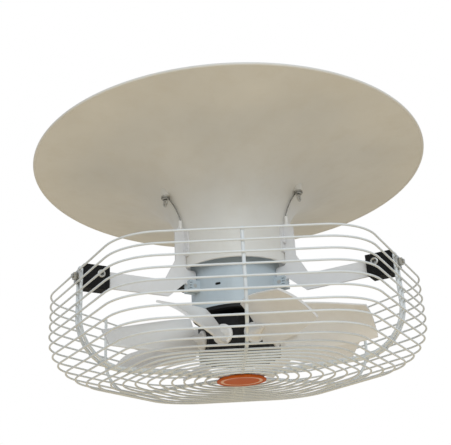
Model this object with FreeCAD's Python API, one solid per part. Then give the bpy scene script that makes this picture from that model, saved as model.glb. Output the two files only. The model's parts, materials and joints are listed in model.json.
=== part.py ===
import FreeCAD, Part
import math
import os

Vec = FreeCAD.Vector
UP = Vec(0, 0, 1)
OUT = Vec(1, 0, 0)
ALONG = Vec(0, 1, 0)

# Vertical circulation fan, hung from three eyes above its deflector cone.
# Millimetres. Heights are measured up from the floor wires of the guard while building,
# and every piece is then lowered so that the origin lies on the axis at the hanging eyes.
# Bearings are degrees from the front (-Y), counter-clockwise seen from above.

# General fits
SLIP = 0.1           # play round screws, rivets and slotted plates
SEAT = 0.05          # paint film or weld gap between touching pieces
PRESS = 0.02         # play on turned seats
INNER_SHARE = 0.45   # most of a run that one bend may use, where a bend follows at its other end
END_SHARE = 0.95     # the same at the free end of a wire

# Guard of wire rings on bent ribs, a hexagon with rounded corners
GUARD_FLAT_R = 262.0     # axis to the wall wires at the middle of a side
GUARD_DEPTH = 137.8      # floor wires to top wire
GUARD_SHOULDER_R = 72.0  # bend between wall and floor
GUARD_CORNER_R = 85.0    # corner radius of the rings; smaller rings are round
RING_WIRE_R = 1.45
RIB_WIRE_R = 2.4
WALL_RINGS = 5
WALL_EDGE = 3.0          # lowest wall ring above the bend
SHOULDER_RINGS = 7
SHOULDER_START = 10.0    # degrees of bend before the first shoulder ring
SHOULDER_END = 5.0       # degrees of bend after the last one
FLOOR_RINGS = 9
FLOOR_EDGE = 9.5         # largest floor ring inside the bend
RIB_INNER_R = 17.0
RIB_STAND_UP = 3.0       # single ribs above the top wire
HAIRPIN_RISE = 8.0       # top of the hairpin above the top wire
SINGLE_BEARINGS = (0, 120, 240)
HAIRPIN_BEARINGS = {"right": 60, "rear": 180, "left": 300}

# Guard centre
PLATE_R = 34.0
PLATE_T = 2.0
BADGE_R = 37.5
BADGE_T = 3.75
BADGE_GAP = 16.0         # badge edge to the smallest ring's wire
BADGE_RIM_W = 4.5
BADGE_RIM_T = 1.5
BADGE_BOSS_R = 5.0
BADGE_SCREW_R = 2.0

# Impeller
BLADES = 8
BLADE_START = 19.5       # bearing of the first blade
TIP_R = 209.6
LEAF_GAP = 0.5           # inner edge of the leaf beyond the motor's skin
LEAF_T = 3.5
LEAF_CAMBER = 4.0
LEAF_SHARES = (0.0, 0.32, 0.67, 1.0)
LEAF_CHORDS = (66.0, 78.0, 76.0, 64.0)
LEAF_PITCHES = (60.0, 49.0, 40.0, 33.0)
LEAF_SHIFTS = (-13.0, -9.0, -4.0, 0.0)
ROOT_DISC_R = 15.5
ROOT_DISC_T = 4.0
ROOT_SHANK_R = 10.0
ROOT_COLLAR_R = 11.8
ROOT_COLLAR_T = 5.0
ROOT_END_R = 34.0        # inner end of the blade shank
FAIRING_R = 12.0
FAIRING_END_R = 3.0
FAIRING_L = 34.0
HUB_FLAT_R = 58.0        # axis to the flats of the eight-sided hub
HUB_LOW_Z = 30.8
HUB_H = 55.0
ROOT_RISE = 26.4         # blade axes and hub split above the hub underside
HUB_BOLT_SET = 8.0       # bolt circle inside the flats
HUB_BOLT_R = 2.5
HUB_BOLT_HEAD_R = 4.25
HUB_BOLT_HEAD_H = 3.5
HUB_BOLT_LAND = 8.0      # solid hub above the bolt ends

# Shaft and bearings
SHAFT_HUB_R = 8.0
SHAFT_CORE_R = 11.0
SHAFT_LIFT = 3.0         # shaft end above the hub underside
SHAFT_SCREW_R = 3.0
SHAFT_SCREW_HEAD_R = 6.0
SHAFT_SCREW_HEAD_H = 4.0
SHAFT_SCREW_L = 22.0
SHAFT_WASHER_R = 14.0
SHAFT_WASHER_T = 3.0
KEY_W = 5.0
KEY_L = 30.0
BEARING_BORE_R = 8.5
BEARING_R = 20.0
BEARING_W = 12.0
BALL_R = 3.4
BALLS = 8
RACE_LAND = 2.25         # half the gap between the rings

# Motor
MOTOR_R = 71.0
MOTOR_L = 84.5
MOTOR_WALL = 7.0
HUB_GAP = 3.5            # running gap, hub to lower end shield
NOSE_H = 5.0
NOSE_R = 30.0
SHIELD_T = 5.0
SHIELD_INSET = 1.0       # shield rim inside the housing skin
SHIELD_EYE_PLAY = 1.0    # shield opening round the shaft
SPIGOT_H = 2.5
SPIGOT_W = 4.4
BEARING_SINK = 2.0       # lower bearing below the shield's inner face
BEARING_CUP_W = 6.0
SHIELD_SCREWS = 4
SHIELD_SCREW_R = 2.0
SHIELD_SCREW_L = 14.0
SHIELD_SCREW_HEAD_R = 3.5
SHIELD_SCREW_HEAD_H = 3.0
CORE_RISE = 21.0         # stator core above the housing's lower edge
CORE_ROOM = 30.0         # stator core below the housing's upper edge
AIR_GAP = 0.35
STATOR_DEPTH = 24.15     # radial depth of the stator core
ROTOR_RING_H = 6.0
ROTOR_RING_W = 8.0
ROTOR_RING_SET = 2.0
SLOTS = 12
SLOT_R = 3.5
SLOT_SET = 8.0           # slot centres outside the bore
WINDING_H = 10.0
WINDING_SET = 3.0
WINDING_ROOM = 5.5       # windings inside the housing bore

# Motor lugs and brackets
LUG_RISE = 37.1          # lug bolts above the housing's lower edge
LUG_T = 8.0
LUG_H = 17.2
LUG_REACH = 17.3         # lug ends beyond the housing
LUG_BOLT_SET = 8.0       # lug bolts beyond the housing
LUG_BOLT_R = 3.0
LUG_GROOVE = 1.8
LUG_GROOVES = 3
BOLT_HEAD_R = 5.0
BOLT_HEAD_H = 3.5
BRACKET_T = 3.0
BRACKET_FILLET = 5.0
TAB_SET = 1.5            # tab edge from the housing
TAB_DROP = 7.0           # tab below the lug bolt, between the ears
TAB_END = 0.8            # tab inside the ears' ends
ARM_H = 24.8
ARM_LOW_R = 119.5
ARM_TOP_R = 126.0
LEG_W = 17.4
LEG_H = 67.0             # leg top above the stem's lower edge
LEG_STEP_H = 11.0        # where the leg meets the upper diagonal, above the stem's lower edge
LEG_TIP_LAND = 4.0       # leg tip beyond the ferrule axis
LEG_TIP_H = 9.0
FOOT_T = 2.5
FOOT_EDGE = 4.7          # foot beyond its screws
FOOT_RISE = 18.0
FOOT_H = 44.0
FOOT_SCREW_GAP = 0.8     # screw head to plate
FOOT_SCREW_INSET = 7.0   # from the foot's lower edge and from the top of the stem
FOOT_SCREW_R = 2.5
FOOT_SCREW_HEAD_R = 4.0
FOOT_SCREW_HEAD_H = 2.5
FOOT_NUT_R = 4.6
FOOT_NUT_H = 4.0

# Clamp blocks
BLOCK_L = 38.3
BLOCK_W = 20.0
BLOCK_H = 35.0
BLOCK_CHAMFER = 4.0
ARM_STOP = 3.0           # block material between arm end and stud
RIVET_INSET = 13.0       # rivet from the block's inner face
RIVET_RISE = 5.0
RIVET_R = 3.0
RIVET_HEAD_R = 6.0
RIVET_HEAD_H = 2.5
RIVET_DENT_R = 3.2
RIVET_DENT = 1.5
STUD_R = 3.0
STUD_SINK = 12.0
STUD_TAIL = 2.5
STUD_SIDE_GAP = 1.1      # stud to the rods of a hairpin rib
CLAMP_PLATE_T = 2.5
CLAMP_PLATE_W = 22.0
CLAMP_PLATE_PLAY = 0.45  # pressure plate to the rings above and below
CLAMP_NUT_R = 5.8
CLAMP_NUT_H = 5.0

# Deflector cone
STEM_R = 88.3
CONE_T = 3.0
STEM_RISE = 66.5         # stem edge above the housing's lower edge
STEM_GAP = 3.0           # bracket tabs below the stem edge
STEM_H = 43.2
FLARE_H = 130.8          # top of the stem to the underside of the rim
RIM_R = 322.0
RIM_BEAD_R = 2.4
RIM_SLOPE = 6.0          # degrees
FLARE_STEM_PULL = 113.0
FLARE_RIM_PULL = 106.4

# Hangers and tethers
HANGER_SET = 32.3        # hangers outside the bracket legs' inner edge
BOSS_R = 7.0
BOSS_RISE = 4.5          # boss top above the flare's underside at its outer edge
HANGER_SHANK_R = 3.0
HANGER_WASHER_R = 6.5
HANGER_WASHER_T = 1.6
HANGER_NUT_R = 5.8
HANGER_NUT_H = 5.0
EYE_COLLAR_H = 2.0
EYE_COLLAR_R = 5.5
EYE_RING_R = 4.9
EYE_WIRE_R = 1.8
EYE_NUT_NECK_H = 9.0
EYE_NUT_NECK_R = 6.5
EYE_NUT_BORE_R = 6.0
EYE_NUT_R = 11.0
EYE_NUT_T = 7.0
EYE_NUT_MERGE = 2.0      # eye sunk into its neck
TETHER_R = 1.0
TETHER_RING_R = 6.6      # tether's end ring, held under the eyebolt's collar
TETHER_RING_T = 2.0
FERRULE_R = 2.9
FERRULE_H = 11.0
FERRULE_GRIP = 6.0       # ferrule jaws below the leg top
FERRULE_GAP = 0.6        # ferrule to the flare
FERRULE_BORE_L = 7.0
TETHER_RISE = 3.0        # straight tether above the ferrule
TETHER_GAP = 2.6         # tether to the flare, measured level
TETHER_SHARES = (0.4, 0.72)  # heights where the tether follows the flare
TETHER_BEND_R = 9.0

# Terminal box
BOX_BEARING = 276.0
BOX_LOW_RISE = 48.2      # box underside above the housing's lower edge
BOX_H = 15.5
BOX_W = 34.0
BOX_DEPTH = 24.0         # housing skin to lid
BOX_WALL = 3.0
BOX_CHEEK = 8.0          # side walls, which hold the lid screws
BOX_BACK = 5.5
BOX_LEAD_R = 3.0
LID_T = 3.0
LID_SCREW_INSET = 4.0    # from the box's sides
LID_SCREW_R = 1.5
LID_SCREW_L = 9.0
LID_SCREW_HEAD_R = 2.8
LID_SCREW_HEAD_H = 1.8
GLAND_BORE_R = 2.6
GLAND_THREAD_R = 4.5
GLAND_HEX_R = 7.0
GLAND_HEX_L = 4.0
GLAND_NECK_R = 5.6
GLAND_NECK_L = 6.0
GLAND_NUT_R = 7.0
GLAND_NUT_CAP = 4.0
GLAND_NUT_GAP = 0.5
GLAND_SET = 14.5         # gland axis from the lid
TERMINAL_SIDE_GAP = 3.0
TERMINAL_END_GAP = 1.5
TERMINAL_T = 6.0

# Heights worked out from the sizes above
RIB_INSET = RING_WIRE_R + RIB_WIRE_R + SEAT
RIB_WALL_R = GUARD_FLAT_R - RIB_INSET
RIB_UNDER_Z = RIB_INSET - RIB_WIRE_R
RIB_OVER_Z = RIB_INSET + RIB_WIRE_R
FLOOR_FIRST_R = BADGE_R + BADGE_GAP + RING_WIRE_R
FLOOR_LAST_R = GUARD_FLAT_R - GUARD_SHOULDER_R - FLOOR_EDGE
FLOOR_PITCH = (FLOOR_LAST_R - FLOOR_FIRST_R) / (FLOOR_RINGS - 1)
WALL_PITCH = (GUARD_DEPTH - GUARD_SHOULDER_R - WALL_EDGE) / (WALL_RINGS - 1)
SHOULDER_STEP = (90 - SHOULDER_START - SHOULDER_END) / (SHOULDER_RINGS - 1)
HAIRPIN_GAUGE = 2 * (STUD_R + STUD_SIDE_GAP + RIB_WIRE_R)
CLAMP_PLATE_H = WALL_PITCH - 2 * RING_WIRE_R - 2 * CLAMP_PLATE_PLAY
STUD_Z = GUARD_DEPTH - WALL_PITCH / 2
HUB_TOP_Z = HUB_LOW_Z + HUB_H
ROOT_Z = HUB_LOW_Z + ROOT_RISE
HUB_BOLT_CIRCLE_R = HUB_FLAT_R - HUB_BOLT_SET
LEAF_R = MOTOR_R + LEAF_GAP
NOSE_Z = HUB_TOP_Z + HUB_GAP
SHIELD_Z = NOSE_Z + NOSE_H
MOTOR_Z = SHIELD_Z + SHIELD_T
MOTOR_TOP_Z = MOTOR_Z + MOTOR_L
MOTOR_BORE_R = MOTOR_R - MOTOR_WALL
LOW_BEARING_Z = MOTOR_Z - BEARING_SINK
TOP_BEARING_Z = MOTOR_TOP_Z - BEARING_W - SEAT
ROTOR_R = MOTOR_BORE_R - STATOR_DEPTH - AIR_GAP
CORE_Z = MOTOR_Z + CORE_RISE
CORE_L = MOTOR_L - CORE_RISE - CORE_ROOM
SHIELD_EYE_R = BEARING_BORE_R + SHIELD_EYE_PLAY
LUG_Z = MOTOR_Z + LUG_RISE
STEM_Z = MOTOR_Z + STEM_RISE
FLARE_Z = STEM_Z + STEM_H
RIM_Z = FLARE_Z + FLARE_H
LEG_SET = SEAT + FOOT_T / 2
LEG_IN_R = STEM_R + LEG_SET
LEG_TOP_Z = STEM_Z + LEG_H
FOOT_FACE_R = STEM_R + SEAT + FOOT_T
FOOT_SCREW_SIDE = BRACKET_T / 2 + FOOT_SCREW_GAP + FOOT_SCREW_HEAD_R
FOOT_SCREW_TURN = math.degrees(math.atan(FOOT_SCREW_SIDE / FOOT_FACE_R))
FOOT_HALF_W = FOOT_SCREW_SIDE + FOOT_EDGE
HANGER_R = LEG_IN_R + HANGER_SET
BLOCK_OUT_R = RIB_WALL_R - RIB_WIRE_R - SEAT
BLOCK_IN_R = BLOCK_OUT_R - BLOCK_L
ARM_END_R = BLOCK_OUT_R - STUD_SINK - ARM_STOP
BOX_OUT_R = MOTOR_R + BOX_DEPTH
BOX_Z = MOTOR_Z + BOX_LOW_RISE


def place(shape, bearing):
    """Turn a piece built along +X to its bearing."""
    turned = shape.copy()
    turned.rotate(Vec(0, 0, 0), UP, bearing - 90)
    return turned


def polar(radius, bearing, height):
    turn = math.radians(bearing)
    return Vec(radius * math.sin(turn), -radius * math.cos(turn), height)


def box(x0, x1, y0, y1, z0, z1):
    return Part.makeBox(x1 - x0, y1 - y0, z1 - z0, Vec(x0, y0, z0))


def rod(radius, start, axis, length):
    return Part.makeCylinder(radius, length, start, axis)


def tube(inner, outer, z0, z1):
    body = rod(outer, Vec(0, 0, z0), UP, z1 - z0)
    return body.cut(rod(inner, Vec(0, 0, z0 - 1), UP, z1 - z0 + 2))


def hexagon(radius, start, axis, length):
    """Hexagonal prism, radius to its corners."""
    side = axis.cross(UP if abs(axis.z) < 0.5 else OUT)
    corners = []
    for k in range(6):
        turn = FreeCAD.Rotation(axis, 60 * k)
        corners.append(start + turn.multVec(side) * radius)
    face = Part.Face(Part.makePolygon(corners + corners[:1]))
    return face.extrude(axis * length)


def rounded_path(points, radii):
    """Straight runs joined by tangent arcs; each arc is limited by its share of its runs."""
    edges = []
    last = points[0]
    shares = [END_SHARE] + [INNER_SHARE] * (len(radii) - 1) + [END_SHARE]
    for k, (before, corner, after, radius) in enumerate(zip(points, points[1:], points[2:], radii)):
        back = before - corner
        ahead = after - corner
        half = (math.pi - back.getAngle(ahead)) / 2
        reach = min(radius * math.tan(half), shares[k] * back.Length, shares[k + 1] * ahead.Length)
        start = corner + back.normalize() * reach
        end = corner + ahead.normalize() * reach
        bisector = (back + ahead).normalize()
        bend = reach / math.tan(half)
        middle = corner + bisector * (bend / math.cos(half) - bend)
        edges.append(Part.LineSegment(last, start).toShape())
        edges.append(Part.Arc(start, middle, end).toShape())
        last = end
    edges.append(Part.LineSegment(last, points[-1]).toShape())
    return edges


def wire_along(edges, radius):
    path = Part.Wire(edges)
    first = edges[0]
    start = first.valueAt(first.FirstParameter)
    heading = first.tangentAt(first.FirstParameter)
    section = Part.Wire(Part.makeCircle(radius, start, heading))
    return path.makePipeShell([section], True, False)


def rounded_plate(points, radius, thickness):
    """Flat plate in the radial plane, points as (radius, height)."""
    corners = [Vec(r, -thickness / 2, z) for r, z in points]
    middle = (corners[0] + corners[-1]) * 0.5
    loop = [middle] + corners + [middle]
    edges = rounded_path(loop, [radius] * len(corners))
    return Part.Face(Part.Wire(edges)).extrude(ALONG * thickness)


def save(name, shapes):
    body = shapes[0] if len(shapes) == 1 else Part.makeCompound(shapes)
    body = body.copy()
    body.translate(Vec(0, 0, -HANG_Z))
    body.exportStep("parts/" + name + ".step")


# Guard

def ring_path(flat_r, height):
    """Bends and straight sides of a hexagon with rounded corners."""
    centre_r = (flat_r - GUARD_CORNER_R) / math.cos(math.radians(30))
    edges = []
    for k in range(6):
        bearing = 30 + 60 * k
        centre = polar(centre_r, bearing, height)
        start, middle, end = [centre + polar(GUARD_CORNER_R, bearing + turn, 0) for turn in (-30, 0, 30)]
        following = polar(centre_r, bearing + 60, height) + polar(GUARD_CORNER_R, bearing + 30, 0)
        edges.append(Part.Arc(start, middle, end).toShape())
        edges.append(Part.LineSegment(end, following).toShape())
    return edges


def guard_ring(flat_r, height):
    """One bent wire; a ring hardly larger than its corners is a plain circle."""
    if flat_r < GUARD_CORNER_R + RING_WIRE_R:
        return Part.makeTorus(flat_r, RING_WIRE_R, Vec(0, 0, height), UP)
    return wire_along(ring_path(flat_r, height), RING_WIRE_R)


def outlet_ring(height):
    """A wall ring beside the air outlets, as bends and straight rods that collision can follow closely."""
    return [wire_along([edge], RING_WIRE_R) for edge in ring_path(GUARD_FLAT_R, height)]


def guard_rings():
    """Upper wall, lower wall, shoulder and floor rings along the basket's profile."""
    heights = [GUARD_DEPTH - WALL_PITCH * k for k in range(WALL_RINGS)]
    beside = (WALL_RINGS + 1) // 2
    upper = [outlet_ring(height) for height in heights[:beside]]
    lower = [guard_ring(GUARD_FLAT_R, height) for height in heights[beside:]]
    shoulder = []
    for k in range(SHOULDER_RINGS):
        turn = math.radians(SHOULDER_START + SHOULDER_STEP * k)
        flat_r = GUARD_FLAT_R - GUARD_SHOULDER_R * (1 - math.cos(turn))
        shoulder.append(guard_ring(flat_r, GUARD_SHOULDER_R * (1 - math.sin(turn))))
    floor = [guard_ring(FLOOR_FIRST_R + FLOOR_PITCH * k, 0) for k in range(FLOOR_RINGS)]
    return upper, lower, shoulder, floor


def single_rib():
    top = GUARD_DEPTH + RIB_STAND_UP
    points = [Vec(RIB_INNER_R, 0, RIB_INSET), Vec(RIB_WALL_R, 0, RIB_INSET), Vec(RIB_WALL_R, 0, top)]
    return wire_along(rounded_path(points, [GUARD_SHOULDER_R - RIB_INSET]), RIB_WIRE_R)


def hairpin_rib():
    half = HAIRPIN_GAUGE / 2
    bend = GUARD_SHOULDER_R - RIB_INSET
    turn_z = GUARD_DEPTH + HAIRPIN_RISE - RIB_WIRE_R - half
    inner, corner, crest = [], [], []
    for side in (-half, half):
        inner.append(Vec(RIB_INNER_R, side, RIB_INSET))
        corner.append(Vec(RIB_WALL_R, side, RIB_INSET))
        crest.append(Vec(RIB_WALL_R, side, turn_z))
    rise = rounded_path([inner[0], corner[0], crest[0]], [bend])
    over = Part.Arc(crest[0], Vec(RIB_WALL_R, 0, turn_z + half), crest[1])
    fall = rounded_path([crest[1], corner[1], inner[1]], [bend])
    return wire_along(rise + [over.toShape()] + fall, RIB_WIRE_R)


def guard_centre():
    plate_z = RIB_OVER_Z + SEAT
    plate = tube(BADGE_SCREW_R + SLIP, PLATE_R, plate_z, plate_z + PLATE_T)
    top = RIB_UNDER_Z - SEAT
    low = top - BADGE_T
    badge = rod(BADGE_R, Vec(0, 0, low), UP, BADGE_T)
    badge = badge.fuse(tube(BADGE_R - BADGE_RIM_W, BADGE_R, low - BADGE_RIM_T, low))
    badge = badge.fuse(rod(BADGE_BOSS_R, Vec(0, 0, low), UP, plate_z - low))
    screw_end = low + BADGE_T / 2
    badge = badge.cut(rod(BADGE_SCREW_R + SEAT, Vec(0, 0, screw_end), UP, plate_z - screw_end + 1))
    screw = rod(BADGE_SCREW_R, Vec(0, 0, screw_end), UP, plate_z + PLATE_T - screw_end)
    screw = screw.fuse(rod(BADGE_SCREW_R * 2, Vec(0, 0, plate_z + PLATE_T), UP, BADGE_SCREW_R))
    return plate, badge.removeSplitter(), screw.removeSplitter()


# Impeller

def leaf_section(radius, chord, pitch, shift):
    turn = math.radians(pitch)
    half_t = LEAF_T / 2

    def point(q, n):
        y = q * math.cos(turn) + n * math.sin(turn)
        z = ROOT_Z - q * math.sin(turn) + n * math.cos(turn)
        return Vec(radius, y, z)

    high, low = shift - chord / 2, shift + chord / 2
    over = Part.Arc(point(high, half_t), point(shift, LEAF_CAMBER + half_t), point(low, half_t))
    low_end = Part.Arc(point(low, half_t), point(low + half_t, 0), point(low, -half_t))
    under = Part.Arc(point(low, -half_t), point(shift, LEAF_CAMBER - half_t), point(high, -half_t))
    high_end = Part.Arc(point(high, -half_t), point(high - half_t, 0), point(high, half_t))
    return Part.Wire([arc.toShape() for arc in (over, low_end, under, high_end)])


def blade():
    """White leaf on a round root disc, with a shank and collar inside the hub."""
    span = TIP_R - LEAF_R
    sections = []
    for share, chord, pitch, shift in zip(LEAF_SHARES, LEAF_CHORDS, LEAF_PITCHES, LEAF_SHIFTS):
        sections.append(leaf_section(LEAF_R + span * share, chord, pitch, shift))
    leaf = Part.makeLoft(sections, True, False)
    leaf = leaf.common(rod(TIP_R, Vec(0, 0, ROOT_Z - TIP_R), UP, 2 * TIP_R))
    disc_r = HUB_FLAT_R + SEAT
    root = rod(ROOT_DISC_R, Vec(disc_r, 0, ROOT_Z), OUT, ROOT_DISC_T)
    shank_l = disc_r - ROOT_END_R + ROOT_DISC_T / 2
    root = root.fuse(rod(ROOT_SHANK_R, Vec(ROOT_END_R, 0, ROOT_Z), OUT, shank_l))
    collar_r = ROOT_END_R + ROOT_COLLAR_T / 2
    root = root.fuse(rod(ROOT_COLLAR_R, Vec(collar_r, 0, ROOT_Z), OUT, ROOT_COLLAR_T))
    base = Vec(disc_r + ROOT_DISC_T / 2, 0, ROOT_Z)
    root = root.fuse(Part.makeCone(FAIRING_R, FAIRING_END_R, FAIRING_L, base, OUT))
    return root.fuse(leaf).removeSplitter()


def hub_bolt_spots():
    step = 360 / BLADES
    return [polar(HUB_BOLT_CIRCLE_R, BLADE_START + step * (k + 0.5), 0) for k in range(BLADES)]


def hub_half(z0, z1):
    corner_r = HUB_FLAT_R / math.cos(math.pi / BLADES)
    step = 360 / BLADES
    corners = [polar(corner_r, BLADE_START + step * (k + 0.5), z0) for k in range(BLADES)]
    half = Part.Face(Part.makePolygon(corners + corners[:1])).extrude(UP * (z1 - z0))
    cuts = [rod(SHAFT_HUB_R + PRESS, Vec(0, 0, z0 - 1), UP, z1 - z0 + 2)]
    socket = rod(ROOT_SHANK_R + SEAT, Vec(ROOT_END_R - SEAT, 0, ROOT_Z), OUT, HUB_FLAT_R)
    collar_r = ROOT_END_R + ROOT_COLLAR_T / 2 - SEAT
    groove = rod(ROOT_COLLAR_R + SEAT, Vec(collar_r, 0, ROOT_Z), OUT, ROOT_COLLAR_T + 2 * SEAT)
    for k in range(BLADES):
        cuts.append(place(socket, BLADE_START + step * k))
        cuts.append(place(groove, BLADE_START + step * k))
    bolt_l = HUB_H - HUB_BOLT_LAND
    for spot in hub_bolt_spots():
        cuts.append(rod(HUB_BOLT_R + SLIP, spot + UP * (HUB_LOW_Z - 1), UP, bolt_l + 1 + SEAT))
    cuts.append(key_blank(SEAT))
    low_bore = rod(SHAFT_WASHER_R + SLIP, Vec(0, 0, HUB_LOW_Z - 1), UP, SHAFT_LIFT + 1)
    cuts.append(low_bore)
    return half.cut(cuts)


def hub_bolts():
    bolts = []
    for spot in hub_bolt_spots():
        shank = rod(HUB_BOLT_R, spot + UP * HUB_LOW_Z, UP, HUB_H - HUB_BOLT_LAND)
        head = hexagon(HUB_BOLT_HEAD_R, spot + UP * (HUB_LOW_Z - HUB_BOLT_HEAD_H), UP, HUB_BOLT_HEAD_H)
        bolts.append(shank.fuse(head).removeSplitter())
    return bolts


def key_blank(play):
    half = KEY_W / 2 + play
    middle = (HUB_LOW_Z + SHAFT_LIFT + HUB_TOP_Z) / 2
    low, high = middle - KEY_L / 2 - play, middle + KEY_L / 2 + play
    return box(SHAFT_HUB_R - half, SHAFT_HUB_R + half, -half, half, low, high)


def shaft():
    end = HUB_LOW_Z + SHAFT_LIFT
    low_seat = HUB_TOP_Z + HUB_GAP / 2
    low_step = LOW_BEARING_Z + BEARING_W
    seat_r = BEARING_BORE_R - PRESS
    body = rod(SHAFT_HUB_R, Vec(0, 0, end), UP, low_seat - end)
    body = body.fuse(rod(seat_r, Vec(0, 0, low_seat), UP, low_step - low_seat))
    body = body.fuse(rod(SHAFT_CORE_R, Vec(0, 0, low_step), UP, TOP_BEARING_Z - low_step))
    body = body.fuse(rod(seat_r, Vec(0, 0, TOP_BEARING_Z), UP, BEARING_W - SEAT))
    body = body.removeSplitter().cut(key_blank(SEAT))
    return body.cut(rod(SHAFT_SCREW_R + SEAT, Vec(0, 0, end - 1), UP, SHAFT_SCREW_L + 2))


def shaft_fixing():
    end = HUB_LOW_Z + SHAFT_LIFT
    under = end - SHAFT_WASHER_T
    washer = tube(SHAFT_SCREW_R + SLIP, SHAFT_WASHER_R, under, end)
    screw = rod(SHAFT_SCREW_R, Vec(0, 0, under), UP, SHAFT_WASHER_T + SHAFT_SCREW_L)
    head = hexagon(SHAFT_SCREW_HEAD_R, Vec(0, 0, under - SHAFT_SCREW_HEAD_H), UP, SHAFT_SCREW_HEAD_H)
    return washer, screw.fuse(head).removeSplitter()


# Bearings

def bearing(z0):
    """Inner ring, outer ring and balls of one deep-groove ball bearing."""
    pitch_r = (BEARING_BORE_R + BEARING_R) / 2
    middle = z0 + BEARING_W / 2
    groove = Part.makeTorus(pitch_r, BALL_R + SEAT, Vec(0, 0, middle), UP)
    inner = tube(BEARING_BORE_R, pitch_r - RACE_LAND, z0, z0 + BEARING_W).cut(groove)
    outer = tube(pitch_r + RACE_LAND, BEARING_R, z0, z0 + BEARING_W).cut(groove)
    balls = [Part.makeSphere(BALL_R, polar(pitch_r, 360 / BALLS * k, middle)) for k in range(BALLS)]
    return inner, outer, balls


# Motor

def shield_screw_spots():
    circle_r = MOTOR_R - MOTOR_WALL / 2
    return [polar(circle_r, 30 + 360 / SHIELD_SCREWS * k, 0) for k in range(SHIELD_SCREWS)]


def lower_shield():
    rim_r = MOTOR_R - SHIELD_INSET
    body = rod(rim_r, Vec(0, 0, SHIELD_Z), UP, SHIELD_T)
    body = body.fuse(Part.makeCone(NOSE_R, MOTOR_BORE_R - SPIGOT_W, NOSE_H, Vec(0, 0, NOSE_Z), UP))
    spigot_r = MOTOR_BORE_R - SEAT
    body = body.fuse(tube(spigot_r - SPIGOT_W, spigot_r, MOTOR_Z, MOTOR_Z + SPIGOT_H))
    body = body.fuse(rod(BEARING_R + BEARING_CUP_W, Vec(0, 0, MOTOR_Z), UP, BEARING_W - BEARING_SINK))
    body = body.cut(rod(BEARING_R + PRESS, Vec(0, 0, LOW_BEARING_Z), UP, BEARING_W + 1))
    body = body.cut(rod(SHIELD_EYE_R, Vec(0, 0, NOSE_Z - 1), UP, MOTOR_L))
    for spot in shield_screw_spots():
        body = body.cut(rod(SHIELD_SCREW_R + SLIP, spot + UP * (NOSE_Z - 1), UP, MOTOR_L))
    return body.removeSplitter()


def upper_shield():
    rim_r = MOTOR_R - SHIELD_INSET
    body = rod(rim_r, Vec(0, 0, MOTOR_TOP_Z), UP, SHIELD_T)
    spigot_r = MOTOR_BORE_R - SEAT
    body = body.fuse(tube(spigot_r - SPIGOT_W, spigot_r, MOTOR_TOP_Z - SPIGOT_H, MOTOR_TOP_Z))
    cup_z = TOP_BEARING_Z
    cup = tube(BEARING_R + PRESS, BEARING_R + BEARING_CUP_W, cup_z, MOTOR_TOP_Z)
    body = body.fuse(cup)
    for spot in shield_screw_spots():
        body = body.cut(rod(SHIELD_SCREW_R + SLIP, spot + UP * (MOTOR_TOP_Z - 1), UP, SHIELD_T + 2))
    return body.removeSplitter()


def shield_screws():
    screws = []
    for spot in shield_screw_spots():
        for seat_z, way in ((SHIELD_Z, UP), (MOTOR_TOP_Z + SHIELD_T, -UP)):
            shank = rod(SHIELD_SCREW_R, spot + UP * seat_z, way, SHIELD_SCREW_L)
            head = rod(SHIELD_SCREW_HEAD_R, spot + UP * seat_z, -way, SHIELD_SCREW_HEAD_H)
            screws.append(shank.fuse(head).removeSplitter())
    return screws


def lug_pair():
    """Two ribbed ears with the bracket's tab between them, along +X."""
    inner = BRACKET_T / 2 + SEAT
    low, high = LUG_Z - LUG_H / 2, LUG_Z + LUG_H / 2
    ears = []
    for side in (-1, 1):
        near, far = sorted((side * inner, side * (inner + LUG_T)))
        ear = box(MOTOR_BORE_R + MOTOR_WALL / 2, MOTOR_R + LUG_REACH, near, far, low, high)
        face = side * (inner + LUG_T)
        for k in range(LUG_GROOVES):
            groove_z = low + LUG_H * (k + 1) / (LUG_GROOVES + 1)
            y0, y1 = face - LUG_GROOVE, face + LUG_GROOVE
            groove = box(MOTOR_R + LUG_BOLT_SET + BOLT_HEAD_R, MOTOR_R + LUG_REACH + 1, y0, y1,
                         groove_z - LUG_GROOVE / 2, groove_z + LUG_GROOVE / 2)
            ear = ear.cut(groove)
        ears.append(ear)
    return ears


def motor_housing():
    body = tube(MOTOR_BORE_R, MOTOR_R, MOTOR_Z, MOTOR_TOP_Z)
    bolt_l = BRACKET_T + 2 * LUG_T + 2
    hole = rod(LUG_BOLT_R + SLIP, Vec(MOTOR_R + LUG_BOLT_SET, -bolt_l / 2, LUG_Z), ALONG, bolt_l)
    for bearing_angle in HAIRPIN_BEARINGS.values():
        for ear in lug_pair():
            body = body.fuse(place(ear, bearing_angle))
        body = body.cut(place(hole, bearing_angle))
    screw_hole_l = SHIELD_SCREW_L - SHIELD_T + 1
    for spot in shield_screw_spots():
        body = body.cut(rod(SHIELD_SCREW_R + SEAT, spot + UP * (MOTOR_Z - 1), UP, screw_hole_l + 1))
        body = body.cut(rod(SHIELD_SCREW_R + SEAT, spot + UP * (MOTOR_TOP_Z + 1), -UP, screw_hole_l + 1))
    lead = rod(BOX_LEAD_R, Vec(MOTOR_BORE_R - 1, 0, BOX_Z + BOX_H / 2), OUT, MOTOR_WALL + 2)
    return body.cut(place(lead, BOX_BEARING)).removeSplitter()


def lug_bolt(bearing_angle):
    """Bolt through both ears, its head on the side away from the front."""
    way = ALONG if math.sin(math.radians(bearing_angle)) > 0 else -ALONG
    reach = BRACKET_T / 2 + SEAT + LUG_T
    face = Vec(MOTOR_R + LUG_BOLT_SET, 0, LUG_Z) + way * reach
    shank = rod(LUG_BOLT_R, face, -way, 2 * reach)
    head = hexagon(BOLT_HEAD_R, face, way, BOLT_HEAD_H)
    return shank.fuse(head).removeSplitter()


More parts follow.
